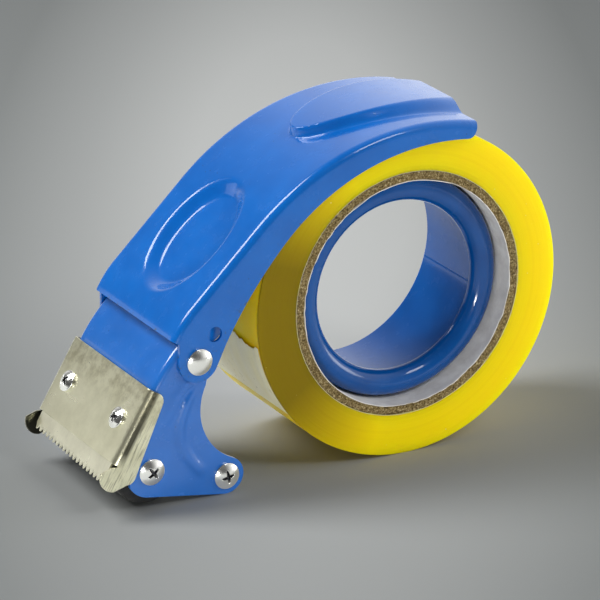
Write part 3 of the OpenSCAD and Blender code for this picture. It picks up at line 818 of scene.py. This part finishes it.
# Distance of the bead's ridge from the neck's centre, at angles about it
RIDGE_ANGLES = [155, 166, 180, 190, 200, 235]
RIDGE_DISTANCES = [23.2, 24.2, 25.9, 27.6, 28.4, 28.0]
RIDGE_HALF_W = 2.7
RIDGE_H = 0.95
# Angles where the bead starts and ends, each with the turn of its slope
RIDGE_START = (154, 20)
RIDGE_END = (233, 10)
# Line of the fold from the neck down to the roller
FOLD_LINE = [(-79.5, -12.5), (-82.0, -15.6), (-85.5, -19.4), (-88.6, -24.8), (-92.2, -28.9), (-95, -33)]
FOLD_H = 0.7
FOLD_HALF_W = 2.2
FOLD_REACH = 9.0
FOLD_START_SHARE = 0.15
FOLD_END_SHARE = 0.4


def bead_height(x, z):
    """Height of the pressed bead along the neck."""
    d = np.array([x, z]) - NECK_C
    angle = math.degrees(math.atan2(d[1], d[0])) % 360
    t = (np.linalg.norm(d) - np.interp(angle, RIDGE_ANGLES, RIDGE_DISTANCES)) / RIDGE_HALF_W
    if abs(t) >= 1:
        return 0.0
    rise = soft((angle - RIDGE_START[0]) / RIDGE_START[1])
    fall = soft((RIDGE_END[0] - angle) / RIDGE_END[1])
    return RIDGE_H * (1 - t * t) ** 2 * rise * fall


def fold_height(x, z):
    """Height of the soft fold beside the bead."""
    near, along = FOLD_REACH, 0.0
    for k in range(len(FOLD_LINE) - 1):
        p, q = np.array(FOLD_LINE[k]), np.array(FOLD_LINE[k + 1])
        f = min(1.0, max(0.0, np.dot((x, z) - p, q - p) / np.dot(q - p, q - p)))
        gap = np.linalg.norm((x, z) - p - f * (q - p))
        if gap < near:
            near, along = gap, (k + f) / (len(FOLD_LINE) - 1)
    ends = soft(along / FOLD_START_SHARE) * soft((1 - along) / FOLD_END_SHARE)
    return FOLD_H * math.exp(-(near / FOLD_HALF_W) ** 2) * ends


def cheek_height(x, z):
    """How far a cheek stands out. A crease is left where the bead and the fold meet."""
    return abs(bead_height(x, z) - fold_height(x, z))


TONGUE_STEPS = 6
BOW_STEPS = 19
PANEL_STEPS = 12
HEAD_BEND_STEPS = 8
HEAD_ROOF_STEPS = 24
# The cheeks are divided by planes this far apart, within limits along X and along Z
CHEEK_STEP = 0.8
CHEEK_LIMITS = ((0, -104, -60), (2, -56, 4))
CHEEK, SKIN = 1, 0


def head_rows(bm):
    """Rows of points across the sheet along the tongue, the bow and the face."""
    path = [(p, TONGUE_TURN) for p in np.linspace(TONGUE_END, TONGUE_FROM, TONGUE_STEPS + 1)[:-1]]
    path += [(BOW_C + BOW_R * outward(a), a) for a in span(TONGUE_TURN, FACE_TURN, BOW_STEPS)]
    path += [(face(d, PANEL_W), FACE_TURN) for d in span(0, PANEL_LEN, PANEL_STEPS)[1:]]
    flat = CHEEK_OUT - BEND_R
    bend = [(flat + BEND_R * math.sin(t), BEND_R * (1 - math.cos(t)))
            for t in np.radians(span(90, 0, HEAD_BEND_STEPS))]
    section = bend + [(y, 0) for y in span(flat, -flat, HEAD_ROOF_STEPS)[1:-1]]
    section += [(-y, d) for y, d in bend[::-1]]
    rows = []
    for p, a in path:
        across = [(p - d * outward(a), y) for y, d in section]
        rows.append([bm.verts.new((q[0], y, q[1])) for q, y in across])
    return rows


def add_cheek(bm, edge, y):
    """Flat cheek between the edge of the bent sheet and the round outline below it."""
    outline = [face(PANEL_LEN, PANEL_W)] + arc(ROLLER_C, BOSS_R, BOSS_FROM_ANGLE, SOLE_ANGLE, 24)
    outline += arc(GUIDE_C, HEEL_R, SOLE_ANGLE, NECK_ANGLE, 40)
    outline += arc(NECK_C, NECK_R, 180 + NECK_ANGLE, NECK_END_ANGLE, 48)[1:]
    outline += [TONGUE_END - TONGUE_SIDE * outward(TONGUE_TURN)]
    cheek = bm.faces.new(edge + [bm.verts.new((q[0], y, q[1])) for q in outline])
    cheek.normal_update()
    cheek.material_index = CHEEK
    bmesh.ops.triangulate(bm, faces=[cheek])


def press_cheeks(bm):
    """Divides both cheeks finely and presses the bead and the fold out of them."""
    for axis, low, high in CHEEK_LIMITS:
        for k in range(int((high - low) / CHEEK_STEP)):
            cheeks = [f for f in bm.faces if f.material_index == CHEEK]
            geom = cheeks + list({e for f in cheeks for e in f.edges})
            geom += list({v for f in cheeks for v in f.verts})
            at, normal = [0, 0, 0], [0, 0, 0]
            at[axis], normal[axis] = low + k * CHEEK_STEP, 1
            bmesh.ops.bisect_plane(bm, geom=geom, plane_co=at, plane_no=normal, dist=1e-4)
    for v in bm.verts:
        x, y, z = v.co
        if abs(abs(y) - CHEEK_OUT) < 1e-6 and all(f.material_index == CHEEK for f in v.link_faces):
            v.co.y += math.copysign(cheek_height(x, z), y)


def face_outward(bm):
    """Turns all faces outward, by the highest face near the middle."""
    bmesh.ops.recalc_face_normals(bm, faces=bm.faces)
    middle = [f for f in bm.faces if abs(f.calc_center_median().y) < BEND_R]
    if max(middle, key=lambda f: f.calc_center_median().z).normal.z < 0:
        bmesh.ops.reverse_faces(bm, faces=bm.faces)


def build_head():
    bm = bmesh.new()
    rows = head_rows(bm)
    for a, b in zip(rows[:-1], rows[1:]):
        for k in range(len(a) - 1):
            bm.faces.new((a[k], a[k + 1], b[k + 1], b[k]))
    for k, y in ((0, CHEEK_OUT), (-1, -CHEEK_OUT)):
        add_cheek(bm, [row[k] for row in rows], y)
    press_cheeks(bm)
    face_outward(bm)
    for f in bm.faces:
        f.material_index = SKIN
    bmesh.ops.scale(bm, vec=(MM, MM, MM), verts=bm.verts)
    me = bpy.data.meshes.new("front_frame_piece")
    bm.to_mesh(me)
    bm.free()
    o = stand_in("front_frame_piece", me, "front_frame", 50)
    mod = o.modifiers.new("sheet", "SOLIDIFY")
    mod.thickness = SHEET * MM
    mod.offset = -1
    mod.use_rim = True
    rounded(o, 0.25, 2, 60)


build_head()

# Screws and rivets: (diameter, height) of a head and (diameter, length) of a shank
SCREW_UP = 5.2
SCREW_PITCH = 35.0
SCREW_REACH = 8.0
UPSET_H = 1.0
GUARD_HEAD = (7.2, 2.0)
GUARD_SHANK = (3.8, 5.0)
CHEEK_HEAD = (8.8, 2.0)
CHEEK_SHANK = (4.0, SHEET + SCREW_REACH)
RIVET_HEAD = (8.8, 2.0)
RIVET_SHANK = (4.4, FLANGE_OUT - CHEEK_IN + UPSET_H)
# Half lengths of the cross recess in the guard screws and the cheek screws
GUARD_SLOT = 1.95
CHEEK_SLOT = 2.3
# Rise of the dome as a share of the head's height, its round edge, the bevel at its foot
# and at the shank's end, and the small hole on the axis, which one more face closes
DOME_SHARE = 0.7
HEAD_EDGE = 0.35
HEAD_FOOT = 0.1
SHANK_BEVEL = 0.3
AXIS_R = 0.02
DOME_STEPS = 44
FASTENER_STEPS = 144
# Cross recess: half width at the middle and how it narrows, slope of its walls, depth and
# how it gets shallower along an arm, and the reach of its round middle
ARM_HALF_W = 0.62
ARM_TAPER = 0.1
ARM_WALL = 0.22
ARM_END = 0.5
RECESS_DEPTH = 1.15
RECESS_RISE = 0.25
HEART_REACH = 1.15
HEART_WALL = 0.5
# Depths where the painted shade of the recess starts and is full, and how dark it is
RECESS_SHADE = (0.1, 0.6, 0.95)


def fastener_profile(head, shank):
    """Half section of a domed head and its shank as (r, z), from the top of the dome."""
    (d, h), (shank_d, length) = head, shank
    rise = h * DOME_SHARE
    ball = (d * d / 4 + rise * rise) / (2 * rise)
    dome_r = d / 2 - HEAD_EDGE
    out = [(r, h - ball + math.sqrt(ball ** 2 - r * r)) for r in span(AXIS_R, dome_r, DOME_STEPS)]
    low = out[-1][1] - HEAD_EDGE
    out += arc((dome_r, low), HEAD_EDGE, 75, 0, 5)
    out += [(d / 2, max(low - HEAD_FOOT, HEAD_FOOT / 2)), (d / 2 - HEAD_FOOT, 0), (shank_d / 2, 0)]
    out += [(shank_d / 2, SHANK_BEVEL - length), (shank_d / 2 - SHANK_BEVEL, -length), (AXIS_R, -length)]
    return np.array(out)


def cross_recess(r, z, a, turn, slot):
    """Depth of a cross recess in a head that is turned by an angle."""
    b = a - math.radians(turn)
    p, q = np.abs(r * np.cos(b)), np.abs(r * np.sin(b))
    arm, side = np.maximum(p, q), np.minimum(p, q)
    width = ARM_HALF_W - ARM_TAPER * arm
    deep = np.clip((width - side) / ARM_WALL, 0, 1) * np.clip((slot - arm) / ARM_END, 0, 1)
    heart = np.clip((HEART_REACH - arm - side) / HEART_WALL, 0, 1)
    drop = np.maximum(deep * (RECESS_DEPTH - RECESS_RISE * arm), heart * RECESS_DEPTH)
    return np.where(z > 2 * HEAD_FOOT, drop, 0)


def fastener(node, name, at, out, head, shank, turn=None, slot=0.0):
    """Domed head that points out from its foot; a turn in degrees gives it a cross recess."""
    out = np.array(out, float)
    u = np.cross(out, (0, 0, 1.0))
    u /= np.linalg.norm(u)
    v = np.cross(out, u)
    profile = fastener_profile(head, shank)
    a = full_circle(FASTENER_STEPS)
    r, z = profile[:, :1] + 0 * a, profile[:, 1:] + 0 * a
    drop = 0 * z if turn is None else cross_recess(r, z, a, turn, slot)
    points = (np.array(at) + (r * np.cos(a))[..., None] * u + (r * np.sin(a))[..., None] * v
              + (z - drop)[..., None] * out)
    o = add_mesh(name, points, tube_faces(len(profile), FASTENER_STEPS), node, 50)
    # Painted shade in the recess, darker where it is deeper
    low, full, most = RECESS_SHADE
    add_attribute(o, "recess", np.clip((drop.ravel() - low) / (full - low), 0, most))


for side, turn in ((-1, 20), (1, 52)):
    spot = face(PANEL_LEN - SCREW_UP, 0)
    fastener("guard_screws", "guard_screw_%d" % side, (spot[0], side * SCREW_PITCH / 2, spot[1]),
             (FACE_OUT[0], 0, FACE_OUT[1]), GUARD_HEAD, GUARD_SHANK, turn, GUARD_SLOT)
for side, label in ((-1, "near"), (1, "far")):
    fastener("head_rivets", "head_rivet_" + label, (RIVET[0], side * FLANGE_OUT, RIVET[1]),
             (0, side, 0), RIVET_HEAD, RIVET_SHANK)
    for kind, c, turn in (("roller", ROLLER_C, 38), ("guide", GUIDE_C, 12)):
        fastener(kind + "_screws", "%s_screw_%s" % (kind, label), (c[0], side * CHEEK_OUT, c[1]),
                 (0, side, 0), CHEEK_HEAD, CHEEK_SHANK, turn, CHEEK_SLOT)

# CAD nodes that keep their shape, with the widths of their rounded edges
EDGE_WIDTHS = {"side_plate": 0.25, "blade_guard": 0.2, "blade": 0.05, "roller_washers": 0.1,
               "roller_axle": 0.3, "guide_axle": 0.3, "guide_tube": 0.2, "roller_core": 0.3}
for name, width in EDGE_WIDTHS.items():
    dressed(name, width)

# Hub drum
CURL_C = (DRUM_R - CURL_R, DRUM_RECESS - HALF_TAPE + CURL_R)
FOOT_R = DRUM_R + FOOT_FLANGE
FOOT_Y = PLATE_IN - DRUM_T
FOOT_BEVEL = 0.1
FOOT_FILLET = 0.6
BORE_BEVEL = 0.3
WALL_ENDS = (20.0, -12.0)
# Seam along the inner wall: place, height, width, start past the curl and pitch of its dots
SEAM_TURN = math.radians(-13.2)
SEAM_H = 0.22
SEAM_W = 0.28
SEAM_START = 1.1
DOT_PITCH = 1.3
DOT_SHARE = 0.45
# A point this close to a radius lies on it
ON_SURFACE = 0.01


def drum_seam(r, y, a):
    """Butt seam with weld dots along the inner wall."""
    gap = (a - SEAM_TURN + math.pi) % (2 * math.pi) - math.pi
    dots = 1 - DOT_SHARE + DOT_SHARE * np.cos(2 * math.pi * y / DOT_PITCH)
    inner = (np.abs(r - DRUM_BORE) < ON_SURFACE) & (y > CURL_C[1] + SEAM_START)
    return r + inner * SEAM_H * dots * np.exp(-(gap * DRUM_BORE / SEAM_W) ** 2), y


def drum_profile():
    """Section of the drum: foot flange, outer wall, curl, its lip and inside, inner wall."""
    out = [(DRUM_BORE, PLATE_IN), (FOOT_R - FOOT_BEVEL, PLATE_IN), (FOOT_R, PLATE_IN - FOOT_BEVEL),
           (FOOT_R, FOOT_Y + FOOT_BEVEL), (FOOT_R - FOOT_BEVEL, FOOT_Y), (DRUM_R + FOOT_FILLET, FOOT_Y),
           (DRUM_R + FOOT_FILLET / 3, FOOT_Y - FOOT_FILLET / 3), (DRUM_R, FOOT_Y - FOOT_FILLET)]
    out += [(DRUM_R, y) for y in span(*WALL_ENDS, 8)]
    out += arc(CURL_C, CURL_R, 0, -180, 40)
    out += arc((CURL_C[0] - CURL_R + DRUM_T / 2, CURL_C[1]), DRUM_T / 2, 180, 0, 8)[1:]
    out += arc(CURL_C, CURL_R - DRUM_T, 180, 360, 24)[1:-1]
    return out + [(DRUM_BORE, y) for y in span(CURL_C[1], PLATE_IN - BORE_BEVEL, 120)]


lathe("hub_drum", drum_profile(), steps=1440, change=drum_seam, crisp=60)

# Tape roll. The end faces lie inside the tape's edges and ripple from layer to layer.
LAYER_GAP = 0.02
FACE_INSET = 0.05
RIPPLE = 0.006
LAYERS = 180
FACE_END = ROLL_R - 0.2
EDGE_R = 0.25
EDGE_BEVEL = 0.06
# Walls between the end faces stop short of them by this
WALL_SHORT = 1.0
TREAD_STEPS = 60
# Sideways drift of the layers in waves round the roll: height, number and phase, or twist
SLOW_DRIFT = (0.03, 2, 0.7)
FAST_DRIFT = (0.02, 5, 0.4)
# Depth of the nicks in the outer layer and the two waves across it that make them
NICK = 0.03
NICK_WAVES = (0.9, 0.37)
ripples = {-1: noise_line(400, 4, 11), 1: noise_line(400, 4, 12)}


def roll_face(side):
    radii = span(CORE_R + LAYER_GAP, FACE_END, LAYERS)
    return [(r, side * (HALF_TAPE - FACE_INSET + RIPPLE * ripple))
            for r, ripple in zip(radii, ripples[side])]


def roll_dents(r, y, a):
    """Slight sideways drift of the layers and a few nicks in the outer layer."""
    height, number, phase = SLOW_DRIFT
    drift = height * np.sin(number * a + phase)
    height, number, twist = FAST_DRIFT
    drift = drift + height * np.sin(number * a + twist * r)
    y = y + np.where(np.abs(y) > HALF_TAPE - WALL_SHORT, drift * np.sign(y), 0)
    nicks = NICK * (np.sin(y * NICK_WAVES[0] + 1) * np.sin(y * NICK_WAVES[1]) - 1)
    r = r + np.where(np.abs(r - ROLL_R) < ON_SURFACE, nicks, 0)
    return r, np.clip(y, -HALF_TAPE, HALF_TAPE)


def wall(r, n):
    """Straight wall across the tape at a radius, from the near side."""
    return [(r, y) for y in span(WALL_SHORT - HALF_TAPE, HALF_TAPE - WALL_SHORT, n)]


def roll_profile():
    edge = [(ROLL_R - EDGE_BEVEL, HALF_TAPE - EDGE_BEVEL), (ROLL_R, HALF_TAPE - EDGE_R)]
    near = roll_face(-1) + [(r, -y) for r, y in edge]
    return near + wall(ROLL_R, TREAD_STEPS) + edge[::-1] + roll_face(1)[::-1]


lathe("tape_roll", roll_profile(), steps=360, change=roll_dents)

# Board core. Its cut faces lie inside the tape's edges, with fluff on them.
CORE_STEPS = 900
FLUFF_COLS = 24
CUT_DEPTH = 0.3
CUT_INSET = 0.1
FLUFF = 0.07
CORNER = 0.05
BORE_FRAY = 0.1
OUTER_FRAY = 0.05
core_fluff = noise_sheet(CORE_STEPS, FLUFF_COLS, 5, 1.2, 21)
bore_edge = noise_line(CORE_STEPS, 5, 22)[:, None]
outer_edge = noise_line(CORE_STEPS, 12, 23)[:, None]


def ragged_core(r, y, a):
    """Saw-cut board: a fibrous face and frayed inner and outer edges."""
    fluff = core_fluff[:, np.arange(r.shape[1]) % FLUFF_COLS]
    cut_face = np.abs(y) > HALF_TAPE - CUT_DEPTH
    y = y - np.where(cut_face, np.sign(y) * (CUT_INSET + FLUFF * fluff), 0)
    inner = cut_face & (r < LINER_R + CORNER)
    outer = cut_face & (r > CORE_R - CORNER)
    r = r - np.where(inner, BORE_FRAY * np.clip(bore_edge, -1, 2.5), 0)
    return r + np.where(outer, OUTER_FRAY * (outer_edge - 1), 0), y


def core_profile():
    end = HALF_TAPE - FACE_INSET
    near = [(r, -end) for r in span(LINER_R, CORE_R, 16)]
    far = [(r, end) for r in span(CORE_R, LINER_R, 16)]
    return near + wall(CORE_R, 4) + far + wall(LINER_R, 4)[::-1]


lathe("tape_core", core_profile(), steps=CORE_STEPS, change=ragged_core, crisp=60)

# Paper inside the core, with a gap to the board and to its own bore. Its near edge is torn
# and lifts off the board over a short way.
PAPER_GAP = 0.05
PAPER_BORE_GAP = 0.03
TORN_LEN = 6.0
PLAIN_FROM = -16.0
LIFT = 0.1
LIFT_LEN = 3.0
EDGE_LEN = 0.5
EDGE_BACK = 0.1
EDGE_TEAR = 0.16
paper_edge = (noise_line(CORE_STEPS, 6, 31) + 0.7 * noise_line(CORE_STEPS, 40, 32))[:, None]
paper_wave = noise_line(CORE_STEPS, 26, 33)[:, None]


def torn_paper(r, y, a):
    """Paper ply with a frayed edge that lifts a little off the core."""
    lift = LIFT * np.exp(-(y + HALF_TAPE) / LIFT_LEN) * np.clip(paper_wave + 1, 0, 3)
    edge = y < EDGE_LEN - HALF_TAPE
    return r - lift, y + np.where(edge, EDGE_BACK + EDGE_TEAR * paper_edge, 0)


def paper_profile():
    places = [*span(-HALF_TAPE, TORN_LEN - HALF_TAPE, 24), *span(PLAIN_FROM, HALF_TAPE, 20)]
    outside = [(LINER_R - PAPER_GAP, y) for y in places]
    return outside + [(CORE_BORE_R + PAPER_BORE_GAP, y) for y in places[::-1]]


lathe("core_liner", paper_profile(), steps=CORE_STEPS, change=torn_paper, crisp=80)

# Free tail of film
TAIL_ANGLE = 217
TAIL_LEN = 27.0
TAIL_LIFT = 0.6
FILM_T = 0.05
TAIL_ROOT = ROLL_R + LAYER_GAP
TAIL_R = 1 / (1 / TAIL_ROOT - 2 * TAIL_LIFT / TAIL_LEN ** 2)
TAIL_STEPS = 90
TEAR_STEPS = 240
TAIL_W_SHARE = 0.999
# Torn edge: heights of its fine and its broad line, how far back it lies and at most
TEAR_FINE = 0.28
TEAR_BROAD = 0.45
TEAR_BACK = 0.9
TEAR_MOST = 2.2
# Lift of the film off its arc, the height of its creases, and how soon they are full
FILM_UP = 0.14
CREASE_H = 0.11
CREASE_GROWTH = 1.4


def build_tail():
    torn = TEAR_FINE * noise_line(TEAR_STEPS + 1, 4, 41)
    torn = torn + TEAR_BROAD * noise_line(TEAR_STEPS + 1, 22, 42)
    torn = np.clip(torn + TEAR_BACK, 0.0, TEAR_MOST)
    creases = noise_sheet(TAIL_STEPS + 1, TEAR_STEPS + 1, 60, 9, 43)
    middle = around((0, 0), TAIL_ROOT - TAIL_R, TAIL_ANGLE)
    points = []
    for i, f in enumerate(span(0, 1, TAIL_STEPS)):
        for j, y in enumerate(span(-HALF_TAPE, HALF_TAPE, TEAR_STEPS)):
            angle = TAIL_ANGLE - math.degrees(f * (TAIL_LEN - torn[j]) / TAIL_R)
            up = FILM_UP + CREASE_H * creases[i, j] * soft(f * CREASE_GROWTH)
            q = around(middle, TAIL_R + up, angle)
            points.append((q[0], y * TAIL_W_SHARE, q[1]))
    faces = grid_faces(TAIL_STEPS + 1, TEAR_STEPS + 1)
    o = add_mesh("tape_tail_piece", points, faces, "tape_tail", 80)
    mod = o.modifiers.new("film", "SOLIDIFY")
    mod.thickness = FILM_T * MM
    mod.offset = 0


build_tail()

# Rubber roller
SLEEVE_BORE = 8.0
SLEEVE_ROUND = 1.0
SLEEVE_HALF = 24.05
TREAD_HALF = SLEEVE_HALF - 1.5 * SLEEVE_ROUND
MOULD_LINE_H = 0.05
MOULD_LINE_W = 0.25
TREAD_WEAR = 0.02
TREAD_DEPTH = 0.1


def rubber_skin(r, y, a):
    """Faint mould line and slight wear on the tread."""
    worn = TREAD_WEAR * np.sin(3 * a) * np.sin(y * 0.3)
    line = MOULD_LINE_H * np.exp(-(np.mod(a, math.pi) * ROLLER_R / MOULD_LINE_W) ** 2)
    return r + np.where(r > ROLLER_R - TREAD_DEPTH, worn + line - MOULD_LINE_H, 0), y


def sleeve_profile():
    near = arc((ROLLER_R - SLEEVE_ROUND, SLEEVE_ROUND - SLEEVE_HALF), SLEEVE_ROUND, -90, 0, 8)
    tread = [(ROLLER_R, y) for y in span(-TREAD_HALF, TREAD_HALF, TREAD_STEPS)]
    far = [(r, -y) for r, y in near[::-1]]
    return near + tread + far + [(SLEEVE_BORE, SLEEVE_HALF), (SLEEVE_BORE, -SLEEVE_HALF)]


lathe("roller_sleeve", sleeve_profile(), ROLLER_C, 288, rubber_skin)

# Camera, fitted to the photograph, with its place in metres
CAMERA_AT = (-0.61895, -1.05484, 0.44887)
AZIMUTH_ANGLE = 29.32
ELEVATION_ANGLE = 20.58
TILT_ANGLE = 0.53
FOCAL_LENGTH = 240
SENSOR_WIDTH = 36
scene.view_settings.view_transform = "Standard"

camera_data = bpy.data.cameras.new("camera")
camera_data.lens = FOCAL_LENGTH
camera_data.sensor_width = SENSOR_WIDTH
camera_data.clip_end = 20
camera = bpy.data.objects.new("camera", camera_data)
camera.matrix_world = (Matrix.Translation(CAMERA_AT)
                       @ Matrix.Rotation(math.radians(-AZIMUTH_ANGLE), 4, "Z")
                       @ Matrix.Rotation(math.radians(90 - ELEVATION_ANGLE), 4, "X")
                       @ Matrix.Rotation(math.radians(TILT_ANGLE), 4, "Z"))
scene.collection.objects.link(camera)
scene.camera = camera

# Floor, in metres, with a light patch ahead of the camera, fitted to the photograph
FLOOR_HALF = 6.0
PATCH_AHEAD = 1.482
PATCH_HALF = (0.21, 0.9)
PATCH_STOPS = ((0.0, (0.455, 0.465, 0.46)), (0.2, (0.415, 0.425, 0.42)), (0.4, (0.295, 0.305, 0.302)),
               (0.6, (0.195, 0.205, 0.203)), (0.75, (0.19, 0.20, 0.199)))
FLOOR_PALE = (0.58, 0.59, 0.58)


def floor_material():
    """Matt floor, pale for the light that it returns and a soft grey patch for the camera."""
    m = material("floor_grey", FLOOR_PALE, rough=1.0, Specular_IOR_Level=0.0)
    g = Graph(m)
    azimuth = math.radians(AZIMUTH_ANGLE)
    middle = Vector(CAMERA_AT[:2]) + PATCH_AHEAD * Vector((math.sin(azimuth), math.cos(azimuth)))
    turn = g.node("VectorRotate", Vector=g.place(shift=(-middle.x, -middle.y, 0)), Angle=azimuth)
    turn.rotation_type = "Z_AXIS"
    squashed = g.vector("MULTIPLY", turn.outputs["Vector"], (1 / PATCH_HALF[0], 1 / PATCH_HALF[1], 0))
    seen = g.ramp(g.vector("LENGTH", squashed), *PATCH_STOPS)
    camera_ray = g.node("LightPath").outputs["Is Camera Ray"]
    g.set("Base Color", g.mix(camera_ray, FLOOR_PALE, seen))
    return m


def build_floor():
    half, low = FLOOR_HALF, -ROLL_R * MM
    corners = [(-half, -half, low), (half, -half, low), (half, half, low), (-half, half, low)]
    me = bpy.data.meshes.new("floor")
    me.from_pydata(corners, [], [(0, 1, 2, 3)])
    me.materials.append(floor_material())
    floor = bpy.data.objects.new("floor", me)
    scene.collection.objects.link(floor)


build_floor()

# Room: brightest behind the roll on the right and dim in front
BRIGHT_SIDE = (0.95, 0.3, -0.05)
ROOM_STOPS = ((0.0, 0.07), (0.3, 0.08), (0.47, 0.11), (0.6, 0.35), (0.73, 0.80), (0.86, 1.1), (1.0, 1.1))
ROOM_STRENGTH = 1.2


def room_light():
    world = bpy.data.worlds.new("world")
    scene.world = world
    world.use_nodes = True
    g = Graph(world, "Background", "Generated")
    toward = g.vector("DOT_PRODUCT", g.coord, Vector(BRIGHT_SIDE).normalized())
    stops = [(at, (level, level, level)) for at, level in ROOM_STOPS]
    g.set("Color", g.ramp(g.remap(toward, -1, 1), *stops))
    g.set("Strength", ROOM_STRENGTH)


def softbox(name, at, size, power, aim=(0, 0, 0)):
    """Lamp with its place, size and aim in metres and its power in watts."""
    data = bpy.data.lights.new(name, "AREA")
    data.shape = "RECTANGLE"
    data.size, data.size_y = size
    data.energy = power
    o = bpy.data.objects.new(name, data)
    o.location = at
    o.rotation_euler = (Vector(aim) - Vector(at)).to_track_quat("-Z", "Y").to_euler()
    scene.collection.objects.link(o)


room_light()
softbox("key", (-0.66, 0.42, 0.92), (0.50, 0.75), 15.3)
softbox("right", (0.21, -0.14, 0.0), (0.09, 0.09), 0.13, (0.02, -0.02, 0))
softbox("front", (0.22, -0.62, 0.70), (0.25, 0.25), 1.7)
softbox("left", (-0.42, -0.60, -0.01), (0.16, 0.07), 1.7, (-0.06, -0.02, -0.03))
softbox("card", (-0.58, 0.50, 0.05), (0.35, 0.16), 0.16, (-0.10, 0, -0.01))
